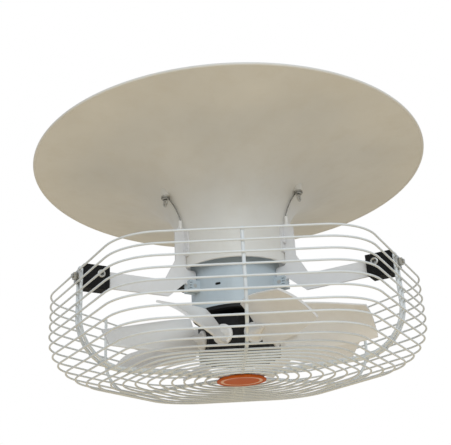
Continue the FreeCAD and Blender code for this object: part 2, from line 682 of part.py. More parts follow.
def stator_core():
    body = tube(ROTOR_R + AIR_GAP, MOTOR_BORE_R - PRESS, CORE_Z, CORE_Z + CORE_L)
    for k in range(SLOTS):
        spot = polar(ROTOR_R + SLOT_SET, 360 / SLOTS * k, CORE_Z - 1)
        body = body.cut(rod(SLOT_R, spot, UP, CORE_L + 2))
    return body


def windings():
    inner = ROTOR_R + WINDING_SET
    outer = MOTOR_BORE_R - WINDING_ROOM
    low = tube(inner, outer, CORE_Z - WINDING_H, CORE_Z)
    high = tube(inner, outer, CORE_Z + CORE_L, CORE_Z + CORE_L + WINDING_H)
    return [low, high]


def rotor_core():
    body = rod(ROTOR_R, Vec(0, 0, CORE_Z), UP, CORE_L)
    ring_r = ROTOR_R - ROTOR_RING_SET
    low, high = CORE_Z - ROTOR_RING_H, CORE_Z + CORE_L + ROTOR_RING_H
    body = body.fuse(tube(ring_r - ROTOR_RING_W, ring_r, low, high))
    bore = rod(SHAFT_CORE_R + PRESS, Vec(0, 0, low - 1), UP, high - low + 2)
    return body.cut(bore).removeSplitter()


# Brackets and clamp blocks

def bracket():
    arm_low, arm_top = STUD_Z - ARM_H / 2, STUD_Z + ARM_H / 2
    tab_low, tab_top = LUG_Z - TAB_DROP, STEM_Z - STEM_GAP
    tab_end = MOTOR_R + LUG_REACH - TAB_END
    leg_out = LEG_IN_R + LEG_W
    outline = [
        (MOTOR_R + TAB_SET, tab_low),
        (tab_end, tab_low),
        (tab_end, LUG_Z + LUG_H / 2),
        (ARM_LOW_R, arm_low),
        (ARM_END_R, arm_low),
        (ARM_END_R, arm_top),
        (ARM_TOP_R, arm_top),
        (leg_out, STEM_Z + LEG_STEP_H),
        (leg_out, LEG_TOP_Z - LEG_TIP_H),
        (FERRULE_AXIS_R + LEG_TIP_LAND, LEG_TOP_Z),
        (LEG_IN_R, LEG_TOP_Z),
        (LEG_IN_R, tab_top),
        (MOTOR_R + TAB_SET, tab_top),
    ]
    plate = rounded_plate(outline, BRACKET_FILLET, BRACKET_T)
    foot_z = STEM_Z + FOOT_RISE
    foot = cone_envelope(-SEAT - FOOT_T).cut(cone_envelope(-SEAT))
    foot = foot.common(box(0, RIM_R, -FOOT_HALF_W, FOOT_HALF_W, foot_z, foot_z + FOOT_H))
    plate = plate.cut(cone_envelope(-LEG_SET)).fuse(foot)
    hole = rod(LUG_BOLT_R + SLIP, Vec(MOTOR_R + LUG_BOLT_SET, -BRACKET_T, LUG_Z), ALONG, 2 * BRACKET_T)
    plate = plate.cut(hole)
    plate = plate.cut(rod(RIVET_R + SLIP, rivet_base(), ALONG, BLOCK_W))
    for turn, height in foot_screw_spots():
        plate = plate.cut(foot_screw_hole(turn, height))
    return plate.removeSplitter()


def foot_screw_spots():
    foot_z = STEM_Z + FOOT_RISE
    return ((FOOT_SCREW_TURN, foot_z + FOOT_SCREW_INSET), (-FOOT_SCREW_TURN, FLARE_Z - FOOT_SCREW_INSET))


def about_axis(shape, turn):
    turned = shape.copy()
    turned.rotate(Vec(0, 0, 0), UP, turn)
    return turned


def foot_screw_hole(turn, height):
    hole = rod(FOOT_SCREW_R + SLIP, Vec(STEM_R - 2 * CONE_T, 0, height), OUT, 4 * CONE_T)
    return about_axis(hole, turn)


def foot_fixings():
    """Screws through bracket foot and stem, with nuts inside the stem, for one bracket."""
    screws, nuts = [], []
    face_r = FOOT_FACE_R
    wall_r = math.sqrt((STEM_R - CONE_T) ** 2 - FOOT_NUT_R ** 2)
    nut_r = wall_r - FOOT_NUT_H
    for turn, height in foot_screw_spots():
        base = Vec(nut_r, 0, height)
        screw = rod(FOOT_SCREW_R, base, OUT, face_r - nut_r)
        screw = screw.fuse(rod(FOOT_SCREW_HEAD_R, Vec(face_r, 0, height), OUT, FOOT_SCREW_HEAD_H))
        nut = hexagon(FOOT_NUT_R, base, OUT, FOOT_NUT_H)
        nut = nut.cut(rod(FOOT_SCREW_R + SEAT, base - OUT, OUT, FOOT_NUT_H + 2))
        screws.append(about_axis(screw.removeSplitter(), turn))
        nuts.append(about_axis(nut, turn))
    return screws, nuts


def clamp_block():
    half = BLOCK_W / 2
    low, high = STUD_Z - BLOCK_H / 2, STUD_Z + BLOCK_H / 2
    profile = [
        Vec(BLOCK_IN_R + BLOCK_CHAMFER, -half, low),
        Vec(BLOCK_OUT_R, -half, low),
        Vec(BLOCK_OUT_R, -half, high),
        Vec(BLOCK_IN_R, -half, high),
        Vec(BLOCK_IN_R, -half, low + BLOCK_CHAMFER),
    ]
    body = Part.Face(Part.makePolygon(profile + profile[:1])).extrude(ALONG * BLOCK_W)
    slot_half = BRACKET_T / 2 + SEAT
    arm_low, arm_top = STUD_Z - ARM_H / 2 - SEAT, STUD_Z + ARM_H / 2 + SEAT
    body = body.cut(box(BLOCK_IN_R - 1, ARM_END_R + SEAT, -slot_half, slot_half, arm_low, arm_top))
    body = body.cut(rod(RIVET_R + SLIP, rivet_base(), ALONG, BLOCK_W))
    stud_end = Vec(BLOCK_OUT_R - STUD_SINK - SEAT, 0, STUD_Z)
    return body.cut(rod(STUD_R + SEAT, stud_end, OUT, STUD_SINK + 1))


def rivet_base():
    return Vec(BLOCK_IN_R + RIVET_INSET, -BLOCK_W / 2, STUD_Z + RIVET_RISE)


def block_rivet():
    """Semi-tubular rivet with a head on each face of the block."""
    base = rivet_base()
    far = base + ALONG * BLOCK_W
    body = rod(RIVET_R, base, ALONG, BLOCK_W)
    body = body.fuse(rod(RIVET_HEAD_R, base, -ALONG, RIVET_HEAD_H))
    body = body.fuse(rod(RIVET_HEAD_R, far, ALONG, RIVET_HEAD_H))
    body = body.removeSplitter()
    body = body.cut(rod(RIVET_DENT_R, base - ALONG * (RIVET_HEAD_H + 1), ALONG, RIVET_DENT + 1))
    return body.cut(rod(RIVET_DENT_R, far + ALONG * (RIVET_HEAD_H + 1), -ALONG, RIVET_DENT + 1))


def guard_clamp():
    """Stud, pressure plate and nut that press a hairpin rib against its block."""
    plate_r = RIB_WALL_R + RIB_WIRE_R + SEAT
    nut_r = plate_r + CLAMP_PLATE_T
    stud_r = BLOCK_OUT_R - STUD_SINK
    stud = rod(STUD_R, Vec(stud_r, 0, STUD_Z), OUT, nut_r + CLAMP_NUT_H + STUD_TAIL - stud_r)
    half_w, half_h = CLAMP_PLATE_W / 2, CLAMP_PLATE_H / 2
    plate = box(plate_r, nut_r, -half_w, half_w, STUD_Z - half_h, STUD_Z + half_h)
    plate = plate.cut(rod(STUD_R + SLIP, Vec(plate_r - 1, 0, STUD_Z), OUT, CLAMP_PLATE_T + 2))
    nut = hexagon(CLAMP_NUT_R, Vec(nut_r, 0, STUD_Z), OUT, CLAMP_NUT_H)
    nut = nut.cut(rod(STUD_R + SEAT, Vec(nut_r - 1, 0, STUD_Z), OUT, CLAMP_NUT_H + 2))
    return stud, plate, nut


# Deflector cone

def flare_poles(offset):
    """Bezier poles of the flare; offset moves it into the bowl by the wall thickness."""
    slope = math.radians(RIM_SLOPE)
    rim = Vec(RIM_R - RIM_BEAD_R - offset * math.sin(slope), 0, RIM_Z + offset * math.cos(slope))
    stem = Vec(STEM_R - offset, 0, FLARE_Z)
    pull = Vec(math.cos(slope), 0, math.sin(slope)) * FLARE_RIM_PULL
    return [stem, stem + UP * FLARE_STEM_PULL, rim - pull, rim]


def flare_edge(offset):
    curve = Part.BezierCurve()
    curve.setPoles(flare_poles(offset))
    return curve.toShape()


def flare_height(radius):
    """Height of the flare's underside at a radius."""
    edge = flare_edge(0)
    upright = Part.makeLine(Vec(radius, 0, STEM_Z), Vec(radius, 0, RIM_Z + FLARE_H))
    return edge.distToShape(upright)[1][0][0].z


def flare_radius(height):
    """Radius of the flare's underside at a height."""
    level = Part.makeLine(Vec(0, 0, height), Vec(2 * RIM_R, 0, height))
    return flare_edge(0).distToShape(level)[1][0][0].x


def cone_envelope(offset):
    """Solid within the stem and flare, moved outward by a negative offset."""
    edge = flare_edge(offset)
    low, rim = Vec(STEM_R - offset, 0, STEM_Z), flare_poles(offset)[3]
    side = Part.makeLine(low, Vec(STEM_R - offset, 0, FLARE_Z))
    base = Part.makeLine(Vec(0, 0, STEM_Z), low)
    top = Part.makeLine(rim, Vec(0, 0, rim.z))
    axis = Part.makeLine(Vec(0, 0, rim.z), Vec(0, 0, STEM_Z))
    outline = Part.Wire(Part.__sortEdges__([base, side, edge, top, axis]))
    return Part.Face(outline).revolve(Vec(0, 0, 0), UP, 360)


def deflector_cone():
    under, over = flare_edge(0), flare_edge(CONE_T)
    stem_out = Part.makeLine(Vec(STEM_R, 0, STEM_Z), Vec(STEM_R, 0, FLARE_Z))
    stem_in = Part.makeLine(Vec(STEM_R - CONE_T, 0, STEM_Z), Vec(STEM_R - CONE_T, 0, FLARE_Z))
    lip = Part.makeLine(stem_in.Vertexes[0].Point, stem_out.Vertexes[0].Point)
    rim_low, rim_top = flare_poles(0)[3], flare_poles(CONE_T)[3]
    rim = Part.makeLine(rim_low, rim_top)
    outline = Part.Wire(Part.__sortEdges__([lip, stem_out, under, rim, over, stem_in]))
    body = Part.Face(outline).revolve(Vec(0, 0, 0), UP, 360)
    bead_z = (rim_low.z + rim_top.z) / 2
    body = body.fuse(Part.makeTorus(RIM_R - RIM_BEAD_R, RIM_BEAD_R, Vec(0, 0, bead_z), UP))
    boss = rod(BOSS_R, Vec(HANGER_R, 0, BOSS_LOW_Z), UP, BOSS_TOP_Z - BOSS_LOW_Z)
    hole = rod(HANGER_SHANK_R + SLIP, Vec(HANGER_R, 0, BOSS_LOW_Z - 1), UP, BOSS_TOP_Z - BOSS_LOW_Z + 2)
    for bearing_angle in HAIRPIN_BEARINGS.values():
        body = body.fuse(place(boss, bearing_angle))
        body = body.cut(place(hole, bearing_angle))
        for turn, height in foot_screw_spots():
            body = body.cut(place(foot_screw_hole(turn, height), bearing_angle))
    return body


# Hangers and tethers

def hanger():
    """Eyebolt, two washers, lock nut and eye nut of one hanger, along +X."""
    low_washer_z = BOSS_LOW_Z - HANGER_WASHER_T
    tether_z = low_washer_z - SEAT - TETHER_RING_T
    collar_z = tether_z - SEAT - EYE_COLLAR_H
    nut_z = BOSS_TOP_Z + HANGER_WASHER_T
    neck_z = nut_z + HANGER_NUT_H
    shank_top = neck_z + EYE_NUT_NECK_H
    foot = Vec(HANGER_R, 0, collar_z)
    bolt = rod(EYE_COLLAR_R, foot, UP, EYE_COLLAR_H)
    bolt = bolt.fuse(rod(HANGER_SHANK_R, foot, UP, shank_top - collar_z))
    ring_z = collar_z - EYE_RING_R - EYE_WIRE_R / 2
    bolt = bolt.fuse(Part.makeTorus(EYE_RING_R, EYE_WIRE_R, Vec(HANGER_R, 0, ring_z), OUT))
    washers = []
    for z in (low_washer_z, BOSS_TOP_Z):
        washer = rod(HANGER_WASHER_R, Vec(HANGER_R, 0, z), UP, HANGER_WASHER_T)
        hole = rod(HANGER_SHANK_R + SLIP, Vec(HANGER_R, 0, z - 1), UP, HANGER_WASHER_T + 2)
        washers.append(washer.cut(hole))
    nut = hexagon(HANGER_NUT_R, Vec(HANGER_R, 0, nut_z), UP, HANGER_NUT_H)
    nut = nut.cut(rod(HANGER_SHANK_R + SEAT, Vec(HANGER_R, 0, nut_z - 1), UP, HANGER_NUT_H + 2))
    eye = rod(EYE_NUT_NECK_R, Vec(HANGER_R, 0, neck_z), UP, EYE_NUT_NECK_H)
    side = Vec(HANGER_R, -EYE_NUT_T / 2, HANG_Z)
    eye = eye.fuse(rod(EYE_NUT_R, side, ALONG, EYE_NUT_T))
    eye = eye.cut(rod(EYE_NUT_BORE_R, side - ALONG * EYE_NUT_R, ALONG, 3 * EYE_NUT_R))
    eye = eye.cut(rod(HANGER_SHANK_R + SEAT, Vec(HANGER_R, 0, neck_z - 1), UP, EYE_NUT_NECK_H + 1))
    return bolt.removeSplitter(), washers, nut, eye.removeSplitter(), tether_z


def tether(end_z):
    """Steel tether from its ring on the eyebolt to a white ferrule on the bracket's leg."""
    axis_r = FERRULE_AXIS_R
    top = LEG_TOP_Z + FERRULE_H
    ferrule = rod(FERRULE_R, Vec(axis_r, 0, LEG_TOP_Z - FERRULE_GRIP), UP, FERRULE_H + FERRULE_GRIP)
    jaw = BRACKET_T / 2 + SEAT
    ferrule = ferrule.cut(box(axis_r - FERRULE_R, axis_r + FERRULE_R, -jaw, jaw, 0, LEG_TOP_Z + SEAT))
    bore_z = top - FERRULE_BORE_L
    ferrule = ferrule.cut(rod(TETHER_R + SEAT, Vec(axis_r, 0, bore_z), UP, FERRULE_BORE_L + 1))
    middle_z = end_z + TETHER_RING_T / 2
    points = [Vec(axis_r, 0, bore_z + SEAT), Vec(axis_r, 0, top + TETHER_RISE)]
    for share in TETHER_SHARES:
        height = top + (middle_z - top) * share
        points.append(Vec(flare_radius(height) + TETHER_GAP, 0, height))
    points.append(Vec(HANGER_R - TETHER_RING_R + TETHER_R / 2, 0, middle_z))
    line = wire_along(rounded_path(points, [TETHER_BEND_R] * (len(points) - 2)), TETHER_R)
    ring = rod(TETHER_RING_R, Vec(HANGER_R, 0, end_z), UP, TETHER_RING_T)
    hole = rod(HANGER_SHANK_R + SLIP, Vec(HANGER_R, 0, end_z - 1), UP, TETHER_RING_T + 2)
    return line.fuse(ring).cut(hole), ferrule


# Terminal box

def terminal_box():
    half = BOX_W / 2
    top = BOX_Z + BOX_H
    body = box(MOTOR_R / 2, BOX_OUT_R, -half, half, BOX_Z, top)
    body = body.cut(rod(MOTOR_R + SEAT, Vec(0, 0, BOX_Z - 1), UP, BOX_H + 2))
    cavity_r = MOTOR_R + BOX_BACK
    room = half - BOX_CHEEK
    body = body.cut(box(cavity_r, BOX_OUT_R + 1, -room, room, BOX_Z + BOX_WALL, top - BOX_WALL))
    body = body.cut(rod(BOX_LEAD_R, Vec(MOTOR_R / 2, 0, BOX_Z + BOX_H / 2), OUT, MOTOR_R))
    body = body.cut(rod(GLAND_THREAD_R + SEAT, gland_base() - ALONG, ALONG, BOX_CHEEK + 2))
    for y, z in lid_screw_spots():
        hole_l = LID_SCREW_L - LID_T + 1
        body = body.cut(rod(LID_SCREW_R + SEAT, Vec(BOX_OUT_R + 1, y, z), -OUT, hole_l + 1))
    side = room - TERMINAL_SIDE_GAP
    inset = BOX_WALL + TERMINAL_END_GAP
    block = box(cavity_r, cavity_r + TERMINAL_T, -side, side, BOX_Z + inset, top - inset)
    return body, block


def lid_screw_spots():
    y = BOX_W / 2 - LID_SCREW_INSET
    return ((-y, BOX_Z + BOX_H / 2), (y, BOX_Z + BOX_H / 2))


def terminal_lid():
    half = BOX_W / 2
    lid = box(BOX_OUT_R, BOX_OUT_R + LID_T, -half, half, BOX_Z, BOX_Z + BOX_H)
    screws = []
    for y, z in lid_screw_spots():
        face = Vec(BOX_OUT_R + LID_T, y, z)
        lid = lid.cut(rod(LID_SCREW_R + SLIP, face + OUT, -OUT, LID_T + 2))
        screw = rod(LID_SCREW_R, face, -OUT, LID_SCREW_L)
        screws.append(screw.fuse(rod(LID_SCREW_HEAD_R, face, OUT, LID_SCREW_HEAD_H)).removeSplitter())
    return lid, screws


def gland_base():
    return Vec(BOX_OUT_R - GLAND_SET, -BOX_W / 2, BOX_Z + BOX_H / 2)


def gland():
    base = gland_base()
    away = -ALONG
    body = rod(GLAND_THREAD_R, base, ALONG, BOX_CHEEK)
    body = body.fuse(hexagon(GLAND_HEX_R, base, away, GLAND_HEX_L))
    neck = base + away * GLAND_HEX_L
    body = body.fuse(rod(GLAND_NECK_R, neck, away, GLAND_NECK_L))
    nut_start = neck + away * GLAND_NUT_GAP
    nut_l = GLAND_NECK_L - GLAND_NUT_GAP + GLAND_NUT_CAP
    nut = rod(GLAND_NUT_R, nut_start, away, nut_l)
    nut = nut.cut(rod(GLAND_NECK_R + SEAT, nut_start - away, away, GLAND_NECK_L - GLAND_NUT_GAP + 1))
    bore_l = BOX_CHEEK + GLAND_HEX_L + GLAND_NECK_L + nut_l
    bore = rod(GLAND_BORE_R, base + ALONG * (BOX_CHEEK + 1), away, bore_l)
    return body.cut(bore).removeSplitter(), nut.cut(bore)


BOSS_LOW_Z = flare_height(HANGER_R - BOSS_R)
BOSS_TOP_Z = flare_height(HANGER_R + BOSS_R) + BOSS_RISE
HANG_Z = BOSS_TOP_Z + HANGER_WASHER_T + HANGER_NUT_H + EYE_NUT_NECK_H + EYE_NUT_R - EYE_NUT_MERGE
FERRULE_AXIS_R = flare_radius(LEG_TOP_Z + FERRULE_H) + FERRULE_GAP + FERRULE_R


def build_guard():
    upper, lower, shoulder, floor = guard_rings()
    for k, rods in enumerate(upper):
        save("guard_wall_ring_%d" % (k + 1), rods)
    save("guard_lower_wall_rings", lower)
    save("guard_shoulder_rings", shoulder)
    save("guard_floor_rings", floor)
    save("guard_single_ribs", [place(single_rib(), angle) for angle in SINGLE_BEARINGS])
    save("guard_hairpin_ribs", [place(hairpin_rib(), angle) for angle in HAIRPIN_BEARINGS.values()])
    plate, badge, screw = guard_centre()
    save("guard_centre_plate", [plate])
    save("badge_cap", [badge])
    save("badge_screw", [screw])


def build_impeller():
    one = blade()
    for k in range(BLADES):
        save("blade_%d" % (k + 1), [place(one, BLADE_START + 360 / BLADES * k)])
    save("hub_lower_half", [hub_half(HUB_LOW_Z, ROOT_Z)])
    save("hub_upper_half", [hub_half(ROOT_Z, HUB_TOP_Z)])
    save("hub_bolts", hub_bolts())
    save("motor_shaft", [shaft()])
    save("shaft_key", [key_blank(0)])
    washer, screw = shaft_fixing()
    save("hub_washer", [washer])
    save("hub_retaining_screw", [screw])


def build_motor():
    save("motor_housing", [motor_housing()])
    save("lower_end_shield", [lower_shield()])
    save("upper_end_shield", [upper_shield()])
    save("shield_screws", shield_screws())
    save("stator_core", [stator_core()])
    save("stator_windings", windings())
    save("rotor_core", [rotor_core()])
    low, high = bearing(LOW_BEARING_Z), bearing(TOP_BEARING_Z)
    save("bearing_inner_rings", [low[0], high[0]])
    save("bearing_outer_rings", [low[1], high[1]])
    save("bearing_balls", low[2] + high[2])


def build_terminal_box():
    body, block = terminal_box()
    lid, screws = terminal_lid()
    gland_body, gland_nut = gland()
    save("terminal_box", [place(body, BOX_BEARING)])
    save("terminal_block", [place(block, BOX_BEARING)])
    save("terminal_box_lid", [place(lid, BOX_BEARING)])
    save("lid_screws", [place(screw, BOX_BEARING) for screw in screws])
    save("cable_gland", [place(gland_body, BOX_BEARING)])
    save("gland_nut", [place(gland_nut, BOX_BEARING)])


def build_supports():
    plate, block = bracket(), clamp_block()
    for name, angle in HAIRPIN_BEARINGS.items():
        save("bracket_" + name, [place(plate, angle)])
    angles = list(HAIRPIN_BEARINGS.values())
    save("clamp_blocks", [place(block, angle) for angle in angles])
    stud, pressure_plate, clamp_nut = guard_clamp()
    save("guard_clamp_studs", [place(stud, angle) for angle in angles])
    save("guard_clamp_plates", [place(pressure_plate, angle) for angle in angles])
    save("guard_clamp_nuts", [place(clamp_nut, angle) for angle in angles])
    save("block_rivets", [place(block_rivet(), angle) for angle in angles])
    save("lug_bolts", [place(lug_bolt(angle), angle) for angle in angles])
    screws, nuts = foot_fixings()
    save("cone_screws", [place(screw, angle) for angle in angles for screw in screws])
    save("cone_nuts", [place(nut, angle) for angle in angles for nut in nuts])


def build_cone_and_hangers():
    save("deflector_cone", [deflector_cone()])
    angles = list(HAIRPIN_BEARINGS.values())
    bolt, washers, nut, eye, tether_z = hanger()
    save("hanger_eyebolts", [place(bolt, angle) for angle in angles])
    save("hanger_washers", [place(washer, angle) for angle in angles for washer in washers])
    save("hanger_lock_nuts", [place(nut, angle) for angle in angles])
    save("hanger_eye_nuts", [place(eye, angle) for angle in angles])
    line, ferrule = tether(tether_z)
    save("tether_wires", [place(line, angle) for angle in angles])
    save("tether_ferrules", [place(ferrule, angle) for angle in angles])


os.makedirs("parts", exist_ok=True)
build_guard()
build_impeller()
build_motor()
build_terminal_box()
build_supports()
build_cone_and_hangers()
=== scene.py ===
import json
import math

import bpy
from mathutils import Matrix, Vector


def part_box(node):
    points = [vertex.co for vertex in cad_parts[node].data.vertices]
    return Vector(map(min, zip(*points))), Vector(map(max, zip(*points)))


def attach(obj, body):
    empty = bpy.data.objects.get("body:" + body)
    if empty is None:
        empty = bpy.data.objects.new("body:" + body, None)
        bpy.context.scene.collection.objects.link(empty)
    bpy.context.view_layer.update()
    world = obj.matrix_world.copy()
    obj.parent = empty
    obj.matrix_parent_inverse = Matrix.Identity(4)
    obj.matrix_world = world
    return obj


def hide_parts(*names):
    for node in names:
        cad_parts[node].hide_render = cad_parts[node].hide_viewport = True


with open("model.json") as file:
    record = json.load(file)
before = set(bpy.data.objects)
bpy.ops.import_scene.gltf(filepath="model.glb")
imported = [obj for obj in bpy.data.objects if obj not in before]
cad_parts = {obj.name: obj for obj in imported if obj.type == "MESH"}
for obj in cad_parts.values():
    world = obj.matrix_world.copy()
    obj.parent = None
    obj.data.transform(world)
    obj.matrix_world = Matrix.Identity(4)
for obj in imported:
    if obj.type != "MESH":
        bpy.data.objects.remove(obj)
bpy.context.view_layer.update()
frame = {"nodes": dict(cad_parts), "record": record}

NODES = frame["nodes"]
MM_PER_M = 1000

# Height of the guard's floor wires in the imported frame, in metres, whose origin is at the hanger
# eyes. Forms are built in millimetres above these wires.
FLOOR_WIRE_Z = -0.3229488

# Camera found from the photograph's perspective
CAMERA_AT = Vector((-0.0491, -1.0700, FLOOR_WIRE_Z - 0.2045))
CAMERA_HEADING = 0.0359
CAMERA_PITCH = 0.4087
CAMERA_ROLL = -0.0572
CAMERA_LENS_PX = 706.54
CAMERA_NEAR = 0.01
PHOTO_WIDTH_PX = 451
SENSOR_MM = 36.0


def place_camera():
    cp, sp = math.cos(CAMERA_PITCH), math.sin(CAMERA_PITCH)
    ch, sh = math.cos(CAMERA_HEADING), math.sin(CAMERA_HEADING)
    forward = Vector((sh * cp, ch * cp, sp))
    level = Vector((ch, -sh, 0.0))
    upright = level.cross(forward)
    cr, sr = math.cos(CAMERA_ROLL), math.sin(CAMERA_ROLL)
    right = cr * level + sr * upright
    up = -sr * level + cr * upright
    turn = Matrix((right, up, -forward)).transposed().to_4x4()
    data = bpy.data.cameras.new("camera")
    data.sensor_width = SENSOR_MM
    data.lens = CAMERA_LENS_PX / PHOTO_WIDTH_PX * SENSOR_MM
    data.clip_start = CAMERA_NEAR
    camera = bpy.data.objects.new("camera", data)
    camera.matrix_world = Matrix.Translation(CAMERA_AT) @ turn
    bpy.context.scene.collection.objects.link(camera)
    bpy.context.scene.camera = camera


# Materials

NOISE_ROUGH = 0.55
PROBE_SAMPLES = 4
EDGE_TURN = (0.02, 0.25)
RECESS_OPENNESS = (0.35, 0.85)


class Graph:
    """A material's node tree, with short calls to add and join nodes."""

    def __init__(self, name):
        self.material = bpy.data.materials.new(name)
        self.material.use_nodes = True
        self.tree = self.material.node_tree
        self.tree.nodes.clear()
        output = self.add("ShaderNodeOutputMaterial")
        self.shader = self.add("ShaderNodeBsdfPrincipled")
        self.join(self.shader.outputs["BSDF"], output.inputs["Surface"])
        self.place = self.add("ShaderNodeTexCoord").outputs["Object"]

    def add(self, kind, **settings):
        node = self.tree.nodes.new(kind)
        for key, value in settings.items():
            setattr(node, key, value)
        return node

    def join(self, out, into):
        self.tree.links.new(out, into)

    def stretched(self, scale):
        node = self.add("ShaderNodeMapping")
        node.inputs["Scale"].default_value = scale
        self.join(self.place, node.inputs["Vector"])
        return node.outputs["Vector"]

    def noise(self, scale, detail, rough=NOISE_ROUGH, stretch=None):
        node = self.add("ShaderNodeTexNoise")
        node.inputs["Scale"].default_value = scale
        node.inputs["Detail"].default_value = detail
        node.inputs["Roughness"].default_value = rough
        self.join(self.stretched(stretch) if stretch else self.place, node.inputs["Vector"])
        return node.outputs["Fac"]

    def span(self, value, low, high, to_low=0.0, to_high=1.0):
        node = self.add("ShaderNodeMapRange")
        node.clamp = True
        keys = ("From Min", "From Max", "To Min", "To Max")
        for key, number in zip(keys, (low, high, to_low, to_high)):
            node.inputs[key].default_value = number
        self.join(value, node.inputs["Value"])
        return node.outputs["Result"]

    def product(self, first, second):
        node = self.add("ShaderNodeMath", operation="MULTIPLY")
        self.join(first, node.inputs[0])
        self.join(second, node.inputs[1])
        return node.outputs["Value"]

    def mix(self, share, first, second):
        node = self.add("ShaderNodeMix", data_type="RGBA")
        self.join(share, node.inputs["Factor"])
        for socket, colour in (("A", first), ("B", second)):
            into = [s for s in node.inputs if s.name == socket and s.type == "RGBA"][0]
            if isinstance(colour, tuple):
                into.default_value = colour + (1.0,)
            else:
                self.join(colour, into)
        return [s for s in node.outputs if s.type == "RGBA"][0]

    def bevel(self, radius):
        """Normals as if the edges were rounded."""
        node = self.add("ShaderNodeBevel", samples=PROBE_SAMPLES)
        node.inputs["Radius"].default_value = radius
        return node.outputs["Normal"]

    def edges(self, radius):
        """Share that rises along the edges of the shape."""
        flat = self.add("ShaderNodeNewGeometry").outputs["Normal"]
        dot = self.add("ShaderNodeVectorMath", operation="DOT_PRODUCT")
        self.join(self.bevel(radius), dot.inputs[0])
        self.join(flat, dot.inputs[1])
        return self.span(dot.outputs["Value"], *(1.0 - turn for turn in EDGE_TURN))

    def recess(self, reach):
        """Share that rises in corners and hollows, where shade falls; it drives painted shade."""
        node = self.add("ShaderNodeAmbientOcclusion", samples=PROBE_SAMPLES)
        node.inputs["Distance"].default_value = reach
        return self.span(node.outputs["AO"], *RECESS_OPENNESS, 1.0, 0.0)

    def radius(self):
        """Distance from the fan's axis."""
        node = self.add("ShaderNodeVectorMath", operation="LENGTH")
        self.join(self.stretched((1.0, 1.0, 0.0)), node.inputs[0])
        return node.outputs["Value"]

    def colour(self, value):
        self.join(value, self.shader.inputs["Base Color"])

    def roughness(self, value):
        self.join(value, self.shader.inputs["Roughness"])

    def bump(self, height, strength, distance, soft=None):
        node = self.add("ShaderNodeBump")
        if soft:
            self.join(self.bevel(soft), node.inputs["Normal"])
        node.inputs["Strength"].default_value = strength
        node.inputs["Distance"].default_value = distance
        self.join(height, node.inputs["Height"])
        self.join(node.outputs["Normal"], self.shader.inputs["Normal"])


# Noises are (scale per metre, detail) and perhaps a roughness; spans are the part that counts
MOTTLE_NOISE, MOTTLE_SPAN, MOTTLE_TINTS = (7.0, 4.0), (0.35, 0.7), (0.95, 1.03)
DUST_NOISE, DUST_SPAN, DUST_MOST = (23.0, 6.0, 0.65), (0.48, 0.8), 0.35
WEAR_NOISE, WEAR_SPAN, WEAR_MOST = (160.0, 4.0), (0.45, 0.65), 0.5
WEAR_REACH, WEAR_TINT = 0.0012, 0.72
SHEEN_NOISE, SHEEN_SPAN, SHEEN_BELOW, SHEEN_ABOVE = (60.0, 5.0), (0.3, 0.7), 0.07, 0.09
SKIN_DETAIL, SKIN_DEPTH, SKIN_BEVEL = 2.0, 0.0002, 0.0006

METALNESS = 0.85
CLOUD_NOISE, CLOUD_SPAN = (140.0, 4.0), (0.35, 0.7)
# Painted shade in recesses: how far the occlusion probe looks, and how dark the stain colour turns
# there
SHADE_REACH, SHADE_TINT = 0.003, 0.25
POLISH_NOISE, POLISH_SPAN, POLISH_BELOW, POLISH_ABOVE = (400.0, 4.0), (0.3, 0.7), 0.1, 0.12
SCRATCH_NOISE, SCRATCH_STRETCH = (900.0, 2.0, 0.5), (1.0, 1.0, 0.15)
SCRATCH_STRENGTH, SCRATCH_DEPTH = 0.2, 0.0001

# Paint and moulded plastic: colour, roughness, dust, strength and scale of the skin
COATS = {
    "white_shell": ((0.79, 0.785, 0.755), 0.50, (0.68, 0.64, 0.56), 0.12, 420.0),
    "white_paint": ((0.78, 0.785, 0.80), 0.40, (0.62, 0.58, 0.52), 0.2, 800.0),
    "guard_paint": ((0.80, 0.84, 0.86), 0.36, (0.66, 0.67, 0.66), 0.2, 1200.0),
    "white_plastic": ((0.87, 0.87, 0.87), 0.42, (0.72, 0.69, 0.64), 0.15, 900.0),
    "motor_paint": ((0.50, 0.575, 0.625), 0.42, (0.45, 0.50, 0.53), 0.25, 700.0),
    "black_plastic": ((0.006, 0.006, 0.006), 0.62, (0.011, 0.011, 0.010), 0.35, 900.0),
    "black_paint": ((0.008, 0.008, 0.009), 0.55, (0.016, 0.016, 0.015), 0.4, 500.0),
    "badge_orange": ((0.57, 0.105, 0.006), 0.46, (0.52, 0.11, 0.015), 0.12, 900.0),
    "clean_white": ((0.90, 0.90, 0.89), 0.35, (0.78, 0.76, 0.72), 0.1, 900.0),
}
USUAL_SHINE = 0.5
SHINES = {"black_plastic": 0.18, "black_paint": 0.3, "badge_orange": 0.2}
# Printed ring: inner and outer radius, ink and the width over which it fades, in metres
PRINTS = {"badge_orange": (0.0275, 0.0315, (0.80, 0.50, 0.38), 0.0006)}
# Zinc, steel and copper: colour, roughness, stain; the stain, darkened, is also painted shade in
# the recesses
PLATES = {
    "zinc": ((0.62, 0.62, 0.60), 0.36, (0.45, 0.44, 0.40)),
    "wire_steel": ((0.42, 0.42, 0.40), 0.42, (0.25, 0.24, 0.22)),
    "core_steel": ((0.28, 0.28, 0.29), 0.5, (0.18, 0.17, 0.17)),
    "bearing_steel": ((0.6, 0.6, 0.6), 0.25, (0.48, 0.48, 0.48)),
    "copper": ((0.60, 0.27, 0.12), 0.4, (0.36, 0.14, 0.07)),
}
# The ferrules look newer than the rest of their slot
OWN_LOOKS = {"tether_ferrules": "clean_white"}


def tinted(colour, factor):
    return tuple(min(1.0, c * factor) for c in colour)


